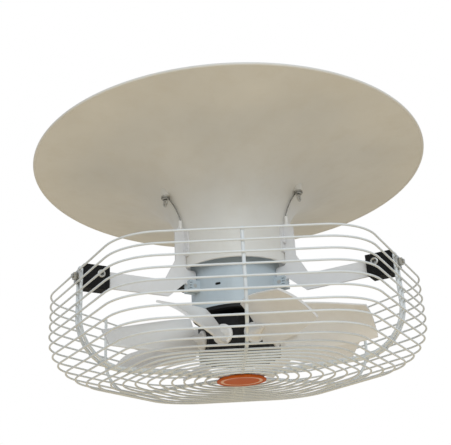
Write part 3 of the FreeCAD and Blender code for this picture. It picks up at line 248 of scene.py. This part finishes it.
def coated(name, colour, rough, dust, skin, skin_scale):
    """Slight mottling, dust in patches, worn edges, a fine skin and perhaps a printed ring."""
    g = Graph(name)
    g.shader.inputs["Specular IOR Level"].default_value = SHINES.get(name, USUAL_SHINE)
    mottle = g.span(g.noise(*MOTTLE_NOISE), *MOTTLE_SPAN)
    base = g.mix(mottle, *(tinted(colour, factor) for factor in MOTTLE_TINTS))
    film = g.span(g.noise(*DUST_NOISE), *DUST_SPAN, 0.0, DUST_MOST)
    base = g.mix(film, base, dust)
    patchy = g.span(g.noise(*WEAR_NOISE), *WEAR_SPAN, 0.0, WEAR_MOST)
    base = g.mix(g.product(g.edges(WEAR_REACH), patchy), base, tinted(colour, WEAR_TINT))
    if name in PRINTS:
        inner, outer, ink, fade = PRINTS[name]
        beyond = g.span(g.radius(), inner - fade, inner)
        within = g.span(g.radius(), outer, outer + fade, 1.0, 0.0)
        base = g.mix(g.product(beyond, within), base, ink)
    g.colour(base)
    sheen = g.noise(*SHEEN_NOISE)
    g.roughness(g.span(sheen, *SHEEN_SPAN, rough - SHEEN_BELOW, rough + SHEEN_ABOVE))
    g.bump(g.noise(skin_scale, SKIN_DETAIL), skin, SKIN_DEPTH, SKIN_BEVEL)
    return g.material


def plated(name, colour, rough, stain_and_shade):
    """Cloudy tint, fine scratches and painted shade that darkens the recesses."""
    g = Graph(name)
    g.shader.inputs["Metallic"].default_value = METALNESS
    base = g.mix(g.span(g.noise(*CLOUD_NOISE), *CLOUD_SPAN), colour, stain_and_shade)
    # Painted shade: recesses found by occlusion are darkened towards a deeper stain colour
    g.colour(g.mix(g.recess(SHADE_REACH), base, tinted(stain_and_shade, SHADE_TINT)))
    polish = g.noise(*POLISH_NOISE)
    g.roughness(g.span(polish, *POLISH_SPAN, rough - POLISH_BELOW, rough + POLISH_ABOVE))
    g.bump(g.noise(*SCRATCH_NOISE, SCRATCH_STRETCH), SCRATCH_STRENGTH, SCRATCH_DEPTH)
    return g.material


MATERIALS = {name: coated(name, *row) for name, row in COATS.items()}
MATERIALS.update((name, plated(name, *row)) for name, row in PLATES.items())


def dress_cad_nodes():
    slots = {row["node"]: row["material_slot"] for row in frame["record"]["subparts"]}
    for name, node in NODES.items():
        node.data.materials.clear()
        node.data.materials.append(MATERIALS[OWN_LOOKS.get(name, slots[name])])


# Meshes

SHARP = 35.0
WELD_RINGS, WELD_SIDES = 6, 8


def strips(rows, count, closed=False):
    """Quads between neighbouring rows of points, where each row is a loop of as many points."""
    faces = []
    for k in range(rows if closed else rows - 1):
        here, there = k * count, (k + 1) % rows * count
        for j in range(count):
            i = (j + 1) % count
            faces.append((here + j, here + i, there + i, there + j))
    return faces


def end_caps(rows, count):
    """One face over the first row and one over the last."""
    return [tuple(reversed(range(count))), tuple(range((rows - 1) * count, rows * count))]


class Shell:
    """Points and faces of one mesh, collected from simple forms. Sizes are in millimetres."""

    def __init__(self):
        self.points = []
        self.faces = []

    def add(self, points, faces, move=None):
        base = len(self.points)
        self.points += [move @ p if move else p for p in points]
        self.faces += [tuple(base + i for i in face) for face in faces]

    def lathe(self, profile, segments, move=None, poles=None):
        """Turns an outline of (radius, height) about Z.

        The outline closes on itself, or on two heights on the axis.
        """
        rows = len(profile)
        points, faces = [], []
        for k in range(segments):
            turn = 2 * math.pi * k / segments
            points += [Vector((r * math.cos(turn), r * math.sin(turn), z)) for r, z in profile]
        if poles:
            points += [Vector((0, 0, z)) for z in poles]
        first = segments * rows
        for k in range(segments):
            here, there = k * rows, (k + 1) % segments * rows
            for j in range(rows - 1 if poles else rows):
                i = (j + 1) % rows
                faces.append((here + j, there + j, there + i, here + i))
            if poles:
                faces.append((first, there, here))
                faces.append((first + 1, here + rows - 1, there + rows - 1))
        self.add(points, faces, move)

    def tube(self, path, radius, sides, closed=False, move=None):
        """Round wire along a path, with flat ends unless it closes on itself."""
        count = len(path)
        tangents = []
        for k in range(count):
            before = path[k - 1] if closed or k else path[k]
            after = path[(k + 1) % count] if closed or k + 1 < count else path[k]
            tangents.append((after - before).normalized())
        normal = tangents[0].orthogonal().normalized()
        points = []
        for k in range(count):
            if k:
                normal = tangents[k - 1].rotation_difference(tangents[k]) @ normal
            side = tangents[k].cross(normal)
            for j in range(sides):
                turn = 2 * math.pi * j / sides
                points.append(path[k] + radius * (math.cos(turn) * normal + math.sin(turn) * side))
        faces = strips(count, sides, closed)
        if not closed:
            faces += end_caps(count, sides)
        self.add(points, faces, move)

    def bead(self, centre, size):
        """Weld bead: a small ball."""
        turns = [math.pi * k / WELD_RINGS for k in range(1, WELD_RINGS)]
        profile = [(size * math.sin(turn), -size * math.cos(turn)) for turn in turns]
        self.lathe(profile, WELD_SIDES, Matrix.Translation(centre), (-size, size))

    def mesh(self, name, sharp=SHARP):
        mesh = bpy.data.meshes.new(name)
        lower = Vector((0, 0, FLOOR_WIRE_Z))
        mesh.from_pydata([p / MM_PER_M + lower for p in self.points], [], self.faces)
        mesh.polygons.foreach_set("use_smooth", [True] * len(mesh.polygons))
        mesh.set_sharp_from_angle(angle=math.radians(sharp))
        mesh.update()
        return mesh


def show(name, mesh, body, slot, *nodes):
    piece = bpy.data.objects.new(name, mesh)
    bpy.context.scene.collection.objects.link(piece)
    mesh.materials.append(MATERIALS[slot])
    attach(piece, body)
    if nodes:
        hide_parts(*nodes)


def bearing(angle):
    """Turns a form built along +X to a bearing from the front."""
    return Matrix.Rotation(math.radians(angle - 90), 4, "Z")


def bend(centre, first, second, start, end, count):
    """Points on an arc: angles in degrees, from the first direction towards the second."""
    points = []
    for k in range(count + 1):
        turn = math.radians(start + (end - start) * k / count)
        points.append(centre + first * math.cos(turn) + second * math.sin(turn))
    return points


# Deflector cone

STEM_R, CONE_T, STEM_Z, FLARE_Z = 88.3, 3.0, 165.8, 209.0
STEM_LIP, STEM_STEPS = 0.8, 4
RIM_R, RIM_Z, RIM_BEAD_R, RIM_SLOPE = 322.0, 339.8, 2.4, math.radians(6)
RIM_BEAD_START, RIM_BEAD_SWEEP, RIM_BEAD_STEPS = 220, 280, 14
FLARE_STEM_PULL, FLARE_RIM_PULL, FLARE_STEPS = 113.0, 106.4, 72
CONE_SIDES, CONE_SHARP = 240, 40.0
ARM_BEARINGS = (60, 180, 300)
HANGER_R, WASHER_T = 121.9, 1.6
BOSS_R, BOSS_BORE_R, BOSS_EASE, BOSS_SIDES = 7.0, 3.1, 1.0, 40


def flare(offset):
    """The flare's underside, or its upper side at the wall's offset, as (radius, height)."""
    rim_r = RIM_R - RIM_BEAD_R - offset * math.sin(RIM_SLOPE)
    rim_z = RIM_Z + offset * math.cos(RIM_SLOPE)
    pull_r, pull_z = FLARE_RIM_PULL * math.cos(RIM_SLOPE), FLARE_RIM_PULL * math.sin(RIM_SLOPE)
    poles = ((STEM_R - offset, FLARE_Z), (STEM_R - offset, FLARE_Z + FLARE_STEM_PULL),
             (rim_r - pull_r, rim_z - pull_z), (rim_r, rim_z))
    curve = []
    for k in range(FLARE_STEPS + 1):
        t = k / FLARE_STEPS
        share = ((1 - t) ** 3, 3 * t * (1 - t) ** 2, 3 * t * t * (1 - t), t ** 3)
        curve.append(tuple(sum(w * pole[i] for w, pole in zip(share, poles)) for i in (0, 1)))
    return curve


def make_cone():
    """Trumpet shell with a beaded rim, and a boss for each hanger bolt between its washers."""
    shell = Shell()
    bore_r = STEM_R - CONE_T
    bead_r = RIM_R - RIM_BEAD_R
    bead_z = RIM_Z + CONE_T / 2 * math.cos(RIM_SLOPE)
    clear = bead_r - RIM_BEAD_R
    stem = [STEM_Z + (FLARE_Z - STEM_Z) * k / STEM_STEPS for k in range(1, STEM_STEPS)]
    outline = [(bore_r, STEM_Z + STEM_LIP), (bore_r + STEM_LIP, STEM_Z),
               (STEM_R - STEM_LIP, STEM_Z), (STEM_R, STEM_Z + STEM_LIP)]
    outline += [(STEM_R, height) for height in stem]
    outline += [point for point in flare(0) if point[0] < clear]
    for k in range(RIM_BEAD_STEPS + 1):
        turn = math.radians(RIM_BEAD_START + RIM_BEAD_SWEEP * k / RIM_BEAD_STEPS)
        outline.append((bead_r + RIM_BEAD_R * math.cos(turn),
                        bead_z + RIM_BEAD_R * math.sin(turn)))
    outline += [point for point in reversed(flare(CONE_T)) if point[0] < clear]
    outline += [(bore_r, height) for height in reversed(stem)]
    shell.lathe(outline, CONE_SIDES)
    low, high = [(corner[2] - FLOOR_WIRE_Z) * MM_PER_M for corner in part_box("hanger_washers")]
    low, high = low + WASHER_T, high - WASHER_T
    boss = [(BOSS_BORE_R, low), (BOSS_R - BOSS_EASE, low), (BOSS_R, low + BOSS_EASE),
            (BOSS_R, high - BOSS_EASE), (BOSS_R - BOSS_EASE, high), (BOSS_BORE_R, high)]
    for angle in ARM_BEARINGS:
        shell.lathe(boss, BOSS_SIDES, bearing(angle) @ Matrix.Translation((HANGER_R, 0, 0)))
    show("cone", shell.mesh("cone", CONE_SHARP), "frame", "white_shell", "deflector_cone")


# Guard

GUARD_FLAT_R, GUARD_DEPTH, SHOULDER_R, CORNER_R = 262.0, 137.8, 72.0, 85.0
GUARD_SIDES, CORNER_STEPS = 6, 12
HALF_CORNER = 180 / GUARD_SIDES
RING_R, RING_SIDES = 1.45, 12
WALL_RINGS, WALL_PITCH = 5, 15.7
SHOULDER_RINGS, SHOULDER_START, SHOULDER_STEP = 7, 10.0, 12.5
FLOOR_RINGS, FLOOR_FIRST_R, FLOOR_LAST_R = 9, 54.95, 180.5
# Nodes that each set of rings stands for
RING_NODES = {
    "wall": ("guard_wall_ring_1", "guard_wall_ring_2", "guard_wall_ring_3",
             "guard_lower_wall_rings"),
    "shoulder": ("guard_shoulder_rings",),
    "floor": ("guard_floor_rings",),
}
RIB_R, RIB_SIDES, RIB_STEPS, WIRE_GAP = 2.4, 14, 14, 0.05
RIB_INSET = RING_R + RIB_R + WIRE_GAP
RIB_WALL_R = GUARD_FLAT_R - RIB_INSET
RIB_INNER_R, SINGLE_TOP, HAIRPIN_TOP, HAIRPIN_HALF = 17.0, 140.8, 145.8, 6.5
SINGLE_BEARINGS = (0, 120, 240)
WELD_R, WELD_SINK = 1.9, 0.3


def ring_rows():
    """Wall, shoulder and floor rings as (distance of the sides, height, slope of the basket)."""
    wall = [(GUARD_FLAT_R, GUARD_DEPTH - WALL_PITCH * k, 0.0) for k in range(WALL_RINGS)]
    shoulder = []
    for k in range(SHOULDER_RINGS):
        turn = math.radians(SHOULDER_START + SHOULDER_STEP * k)
        flat = GUARD_FLAT_R - SHOULDER_R * (1 - math.cos(turn))
        shoulder.append((flat, SHOULDER_R * (1 - math.sin(turn)), turn))
    pitch = (FLOOR_LAST_R - FLOOR_FIRST_R) / (FLOOR_RINGS - 1)
    floor = [(FLOOR_FIRST_R + pitch * k, 0.0, math.pi / 2) for k in range(FLOOR_RINGS)]
    return wall, shoulder, floor


def ring_path(flat, height):
    """Hexagon with round corners; the rings inside the corner radius are circles."""
    corner = flat if flat < CORNER_R + RING_R else CORNER_R
    reach = (flat - corner) / math.cos(math.radians(HALF_CORNER))
    path = []
    for k in range(GUARD_SIDES):
        turn = bearing(HALF_CORNER * (2 * k + 1))
        out, side = turn @ Vector((1, 0, 0)), turn @ Vector((0, 1, 0))
        centre = out * reach + Vector((0, 0, height))
        arc = bend(centre, out * corner, side * corner, -HALF_CORNER, HALF_CORNER, CORNER_STEPS)
        path += arc if reach > 0 else arc[:-1]
    return path


def rib_path(side, top):
    """One rod of a rib, from the guard's middle out along the floor and up the wall."""
    radius = SHOULDER_R - RIB_INSET
    path = [Vector((RIB_INNER_R, side, RIB_INSET))]
    centre = Vector((RIB_WALL_R - radius, side, SHOULDER_R))
    path += bend(centre, Vector((0, 0, -radius)), Vector((radius, 0, 0)), 0, 90, RIB_STEPS)
    path.append(Vector((RIB_WALL_R, side, top)))
    return path


def hairpin_path():
    """Two rods of a rib, joined by a bend over the top."""
    turn_z = HAIRPIN_TOP - RIB_R - HAIRPIN_HALF
    out, back = [rib_path(side, turn_z)[:-1] for side in (-HAIRPIN_HALF, HAIRPIN_HALF)]
    across, up = Vector((0, -HAIRPIN_HALF, 0)), Vector((0, 0, HAIRPIN_HALF))
    over = bend(Vector((RIB_WALL_R, 0, turn_z)), across, up, 0, 180, RIB_STEPS)
    return out + over + back[::-1]


def make_rings(rows):
    for (name, nodes), rings in zip(RING_NODES.items(), rows):
        shell = Shell()
        for flat, height, _ in rings:
            shell.tube(ring_path(flat, height), RING_R, RING_SIDES, True)
        show("wires_" + name, shell.mesh("wires_" + name), "frame", "guard_paint", *nodes)


def make_welds(rows):
    """A bead where each ring crosses each rod of the ribs."""
    shell = Shell()
    inward = RING_R - WELD_SINK
    for flat, height, slope in sum(rows, []):
        spot = Vector((flat - inward * math.cos(slope), 0, height + inward * math.sin(slope)))
        for angle in SINGLE_BEARINGS:
            shell.bead(bearing(angle) @ spot, WELD_R)
        for angle in ARM_BEARINGS:
            for side in (-HAIRPIN_HALF, HAIRPIN_HALF):
                shell.bead(bearing(angle) @ (spot + Vector((0, side, 0))), WELD_R)
    show("guard_welds", shell.mesh("guard_welds"), "frame", "guard_paint")


def make_guard():
    rows = ring_rows()
    make_rings(rows)
    ribs = (("single", rib_path(0.0, SINGLE_TOP), SINGLE_BEARINGS),
            ("hairpin", hairpin_path(), ARM_BEARINGS))
    for kind, path, angles in ribs:
        shell = Shell()
        for angle in angles:
            shell.tube(path, RIB_R, RIB_SIDES, False, bearing(angle))
        name, node = "ribs_" + kind, "guard_%s_ribs" % kind
        show(name, shell.mesh(name), "frame", "guard_paint", node)
    make_welds(rows)


# Blades

TIP_R, LEAF_R, LEAF_HALF_T, CAMBER, ROOT_Z = 209.6, 71.5, 1.75, 4.0, 57.2
LEAF_SHARES = (0.0, 0.32, 0.67, 1.0)
LEAF_CHORDS = (66.0, 78.0, 76.0, 64.0)
LEAF_PITCHES = (60.0, 49.0, 40.0, 33.0)
LEAF_SHIFTS = (-13.0, -9.0, -4.0, 0.0)
LEAF_SPANS, LEAF_STEPS, LEAF_SHARP = 40, 24, 42.0
# Round long edges: a chord for their size, points along them in half thicknesses, and the
# share of the chord that is left to each of them
EDGE_CHORD, EDGE_POINTS, EDGE_SHARE = 70.0, (0.0, 0.12, 0.35, 0.7, 1.2), 0.03
BLADE_START, BLADES = 19.5, 8
# Root as (radius, distance from the fan's axis): plug in the hub, disc, spike into the leaf
ROOT_PLUG = [(10.0, 34.0), (10.0, 36.5), (11.8, 36.5), (11.8, 41.5), (10.0, 41.5), (10.0, 58.05)]
ROOT_DISC = [(15.0, 58.05), (15.5, 58.55), (15.5, 61.4), (15.2, 61.85), (14.7, 62.05),
             (13.4, 62.05), (12.4, 62.5), (11.8, 63.6)]
SPIKE_R, SPIKE_NARROWING, SPIKE_POWER = 11.8, 8.8, 1.2
SPIKE_START, SPIKE_LENGTH, SPIKE_STEPS = 63.6, 30.4, 12
SPIKE_TIP = (1.5, 95.2)
ROOT_ENDS, ROOT_SIDES = (34.0, 95.5), 48


def through(values, share):
    """Smooth value along the leaf, through the four given ones."""
    total = 0.0
    for k, value in enumerate(values):
        weight = 1.0
        for j, other in enumerate(LEAF_SHARES):
            if j != k:
                weight *= (share - other) / (LEAF_SHARES[k] - other)
        total += weight * value
    return total


def leaf_point(share, along, lift):
    """A point of the leaf as (tangential, height).

    Along runs from 0 to 1 from the high edge, and lift is off the mid-surface.
    """
    turn = math.radians(through(LEAF_PITCHES, share))
    q = through(LEAF_SHIFTS, share) + through(LEAF_CHORDS, share) * (along - 0.5)
    n = CAMBER * (1 - (2 * along - 1) ** 2) + lift
    tangential = q * math.cos(turn) + n * math.sin(turn)
    return tangential, ROOT_Z - q * math.sin(turn) + n * math.cos(turn)


def leaf_section():
    """The leaf's outline as (along, lift), over the top and back underneath."""
    alongs = [point * LEAF_HALF_T / EDGE_CHORD for point in EDGE_POINTS]
    ends = [1 - along for along in reversed(alongs)]
    middle = 1 - 2 * EDGE_SHARE
    alongs += [EDGE_SHARE + middle * k / LEAF_STEPS for k in range(1, LEAF_STEPS)] + ends
    top = []
    for along in alongs:
        gap = min(1.0, min(along, 1 - along) * EDGE_CHORD / LEAF_HALF_T)
        top.append((along, LEAF_HALF_T * math.sqrt(1 - (1 - gap) ** 2)))
    return top + [(along, -lift) for along, lift in top[-2:0:-1]]


def leaf(shell, move):
    """Twisted leaf whose outer end follows the tip circle."""
    loop = leaf_section()
    count = len(loop)
    points = []
    for k in range(LEAF_SPANS + 1):
        for along, lift in loop:
            edge = leaf_point(1.0, along, lift)[0]
            reach = math.sqrt(TIP_R ** 2 - edge ** 2)
            x = LEAF_R + (reach - LEAF_R) * k / LEAF_SPANS
            y, z = leaf_point((x - LEAF_R) / (TIP_R - LEAF_R), along, lift)
            points.append(Vector((x, y, z)))
    faces = strips(LEAF_SPANS + 1, count)
    for base, flip in ((0, False), (LEAF_SPANS * count, True)):
        for j in range(count // 2):
            under = [(count - j) % count, (count - j - 1) % count]
            face = [base + j, base + under[0], base + under[1], base + j + 1]
            face = [v for n, v in enumerate(face) if v not in face[:n]]
            faces.append(tuple(reversed(face)) if flip else tuple(face))
    shell.add(points, faces, move)


def make_blades():
    root = ROOT_PLUG + ROOT_DISC
    for k in range(1, SPIKE_STEPS + 1):
        narrowing = SPIKE_NARROWING * math.sin(math.pi / 2 * k / SPIKE_STEPS) ** SPIKE_POWER
        root.append((SPIKE_R - narrowing, SPIKE_START + SPIKE_LENGTH * k / SPIKE_STEPS))
    root.append(SPIKE_TIP)
    lay = Matrix.Translation((0, 0, ROOT_Z)) @ Matrix.Rotation(math.pi / 2, 4, "Y")
    for k in range(BLADES):
        shell = Shell()
        move = bearing(BLADE_START + 360 / BLADES * k)
        shell.lathe(root, ROOT_SIDES, move @ lay, ROOT_ENDS)
        leaf(shell, move)
        name = "blade_%d" % (k + 1)
        mesh = shell.mesh(name, LEAF_SHARP)
        show("leaf_%d" % (k + 1), mesh, "impeller", "white_plastic", name)


# Small fittings

PLUG_BEARING, PLUG_Z, PLUG_R, PLUG_HALF_W, PLUG_HALF_H = 335.5, 132.6, 71.0, 4.2, 1.7
# Rows of the plug as (share of its width and height, lift off the motor's skin)
PLUG_ROWS, PLUG_STEPS = ((1.0, -0.6), (1.0, 0.5), (0.86, 0.9), (0.45, 1.05)), 28

BADGE_R, BADGE_RIM_R, BADGE_SEAT_R, BADGE_BOSS_R, BADGE_SIDES = 37.5, 33.0, 35.0, 5.0, 96
BADGE_LOW, BADGE_FACE, BADGE_EDGE = -3.0, 0.7, 2.6
# Soft rim as (radius beyond its inner side, height over its lowest face), and the badge's
# edge as (radius beyond the badge, height over its lowest face)
BADGE_RIM_ROLL = ((-0.6, BADGE_FACE), (-0.1, BADGE_FACE - 0.1), (0.1, 0.2), (0.5, 0.0))
BADGE_EDGE_ROLL = ((-1.5, 0.0), (-0.6, 0.35), (-0.1, 1.0), (0.0, BADGE_EDGE - 0.3),
                   (-0.3, BADGE_EDGE))

RIVET_R, RIVET_Z, RIVET_FACE, RIVET_SIDES = 230.35, 134.95, 10.0, 36
RIVET_HEAD_R, RIVET_HEAD_H, RIVET_ROLL, RIVET_ROLL_STEPS = 6.0, 2.5, 1.1, 3
RIVET_DENT_R, RIVET_DENT_DEPTH, RIVET_DENT_EASE, RIVET_DENT_TAPER = 3.2, 6.0, 0.5, 0.2
RIVET_SHANK_R = 3.3


def make_plug():
    """Oblong rubber plug in the motor's skin."""
    points = []
    for share, lift in PLUG_ROWS:
        for k in range(PLUG_STEPS):
            turn = 2 * math.pi * k / PLUG_STEPS
            straight = math.copysign(PLUG_HALF_W - PLUG_HALF_H, math.cos(turn))
            y = share * (PLUG_HALF_H * math.cos(turn) + straight)
            z = PLUG_Z + share * PLUG_HALF_H * math.sin(turn)
            points.append(Vector((math.sqrt((PLUG_R + lift) ** 2 - y * y), y, z)))
    size = len(PLUG_ROWS), PLUG_STEPS
    shell = Shell()
    shell.add(points, strips(*size) + end_caps(*size), bearing(PLUG_BEARING))
    show("motor_plug", shell.mesh("motor_plug"), "frame", "black_plastic")


def make_badge():
    """Thin dish with a soft raised rim.

    Its upper side rises to the ribs, and a boss reaches the centre plate.
    """
    face = BADGE_LOW + BADGE_FACE
    seat, boss_top = RIB_INSET - RIB_R - WIRE_GAP, RIB_INSET + RIB_R + WIRE_GAP
    profile = [(BADGE_BOSS_R, face)]
    for radius, roll in ((BADGE_RIM_R, BADGE_RIM_ROLL), (BADGE_R, BADGE_EDGE_ROLL)):
        profile += [(radius + beyond, BADGE_LOW + height) for beyond, height in roll]
    profile += [(BADGE_SEAT_R, seat), (BADGE_BOSS_R, seat), (BADGE_BOSS_R, boss_top)]
    shell = Shell()
    shell.lathe(profile, BADGE_SIDES, None, (face, boss_top))
    show("badge", shell.mesh("badge"), "frame", "badge_orange", "badge_cap")


def make_rivets():
    """Rivets through the blocks, with rolled rims round their hollow heads."""
    reach = RIVET_FACE + RIVET_HEAD_H
    dent = reach - RIVET_DENT_DEPTH
    head = [(RIVET_HEAD_R, RIVET_FACE)]
    for k in range(RIVET_ROLL_STEPS + 1):
        turn = math.pi / 2 * k / RIVET_ROLL_STEPS
        head.append((RIVET_HEAD_R - RIVET_ROLL + RIVET_ROLL * math.cos(turn),
                     reach - RIVET_ROLL + RIVET_ROLL * math.sin(turn)))
    head += [(RIVET_DENT_R + RIVET_DENT_EASE, reach), (RIVET_DENT_R, reach - RIVET_DENT_EASE),
             (RIVET_DENT_R - RIVET_DENT_TAPER, dent)]
    shank = [(RIVET_SHANK_R, -RIVET_FACE), (RIVET_SHANK_R, RIVET_FACE)]
    profile = [(r, -z) for r, z in reversed(head)] + shank + head
    shell = Shell()
    lay = Matrix.Translation((RIVET_R, 0, RIVET_Z)) @ Matrix.Rotation(math.pi / 2, 4, "X")
    for angle in ARM_BEARINGS:
        shell.lathe(profile, RIVET_SIDES, bearing(angle) @ lay, (-dent, dent))
    show("rivets", shell.mesh("rivets"), "frame", "zinc", "block_rivets")


# Light and ground, in metres

# Light from straight below (0) to straight above (1): tan floor, hazy hall, dim roof
SKY = ((0.0, (0.60, 0.45, 0.26)), (0.44, (0.60, 0.47, 0.29)), (0.53, (0.66, 0.70, 0.76)),
       (0.66, (0.66, 0.70, 0.76)), (0.85, (0.40, 0.41, 0.43)), (1.0, (0.38, 0.39, 0.41)))
# The hall is a little brighter on its right
SIDE_LIGHT = ((-1.0, 0.92), (1.0, 1.12))
BACKDROP = (1.0, 1.0, 1.0, 1.0)
# Each lamp's place, size, power and colour: windows in front, above the fan, and a sunlit patch
# of floor below it
LAMPS = {
    "key": (Vector((0.3, -3.7, 1.40)), 1.8, 49.0, (0.89, 0.965, 1.0)),
    "patch": (Vector((-0.1, -0.4, -2.55)), 1.5, 11.5, (1.0, 0.74, 0.36)),
}
LIGHT_AIM = Vector((0.0, 0.0, -0.15))
GROUND_HALF, GROUND_Z, GROUND_ROUGH = 40.0, -2.70, 0.8
GROUND_COLOURS = ((0.84, 0.74, 0.57), (0.86, 0.76, 0.60))
GROUND_NOISE, GROUND_SPAN = (1.5, 4.0), (0.3, 0.7)


def hang_lamp(name, at, size, power, colour):
    light = bpy.data.lights.new(name, "AREA")
    light.size, light.energy, light.color = size, power, colour
    lamp = bpy.data.objects.new(name, light)
    turn = (LIGHT_AIM - at).to_track_quat("-Z", "Y").to_matrix().to_4x4()
    lamp.matrix_world = Matrix.Translation(at) @ turn
    lamp.visible_camera = False
    bpy.context.scene.collection.objects.link(lamp)


def light_scene():
    """A hall that lights the fan by direction, and a plain backdrop for the camera."""
    world = bpy.data.worlds.new("studio")
    bpy.context.scene.world = world
    world.use_nodes = True
    tree = world.node_tree
    tree.nodes.clear()
    out = tree.nodes.new("ShaderNodeOutputWorld")
    mix = tree.nodes.new("ShaderNodeMixShader")
    path = tree.nodes.new("ShaderNodeLightPath")
    hall = tree.nodes.new("ShaderNodeBackground")
    plain = tree.nodes.new("ShaderNodeBackground")
    where = tree.nodes.new("ShaderNodeTexCoord")
    split = tree.nodes.new("ShaderNodeSeparateXYZ")
    height = tree.nodes.new("ShaderNodeMapRange")
    side = tree.nodes.new("ShaderNodeMapRange")
    ramp = tree.nodes.new("ShaderNodeValToRGB")
    for node, rows in ((height, ((-1.0, 0.0), (1.0, 1.0))), (side, SIDE_LIGHT)):
        for end, (position, value) in zip(("Min", "Max"), rows):
            node.inputs["From " + end].default_value = position
            node.inputs["To " + end].default_value = value
    for element, (position, colour) in zip(ramp.color_ramp.elements, (SKY[0], SKY[-1])):
        element.position, element.color = position, colour + (1.0,)
    for position, colour in SKY[1:-1]:
        ramp.color_ramp.elements.new(position).color = colour + (1.0,)
    plain.inputs["Color"].default_value = BACKDROP
    link = tree.links.new
    link(where.outputs["Generated"], split.inputs["Vector"])
    link(split.outputs["Z"], height.inputs["Value"])
    link(height.outputs["Result"], ramp.inputs["Fac"])
    link(ramp.outputs["Color"], hall.inputs["Color"])
    link(split.outputs["X"], side.inputs["Value"])
    link(side.outputs["Result"], hall.inputs["Strength"])
    link(path.outputs["Is Camera Ray"], mix.inputs["Fac"])
    link(hall.outputs["Background"], mix.inputs[1])
    link(plain.outputs["Background"], mix.inputs[2])
    link(mix.outputs["Shader"], out.inputs["Surface"])
    for name, row in LAMPS.items():
        hang_lamp(name, *row)


def lay_floor():
    mesh = bpy.data.meshes.new("floor")
    signs = ((-1, -1), (1, -1), (1, 1), (-1, 1))
    corners = [(x * GROUND_HALF, y * GROUND_HALF, GROUND_Z) for x, y in signs]
    mesh.from_pydata(corners, [], [(0, 1, 2, 3)])
    floor = bpy.data.objects.new("floor", mesh)
    bpy.context.scene.collection.objects.link(floor)
    g = Graph("floor")
    g.colour(g.mix(g.span(g.noise(*GROUND_NOISE), *GROUND_SPAN), *GROUND_COLOURS))
    g.shader.inputs["Roughness"].default_value = GROUND_ROUGH
    mesh.materials.append(g.material)


bpy.context.scene.view_settings.view_transform = "Standard"
dress_cad_nodes()
make_cone()
make_guard()
make_blades()
make_plug()
make_badge()
make_rivets()
light_scene()
lay_floor()
place_camera()
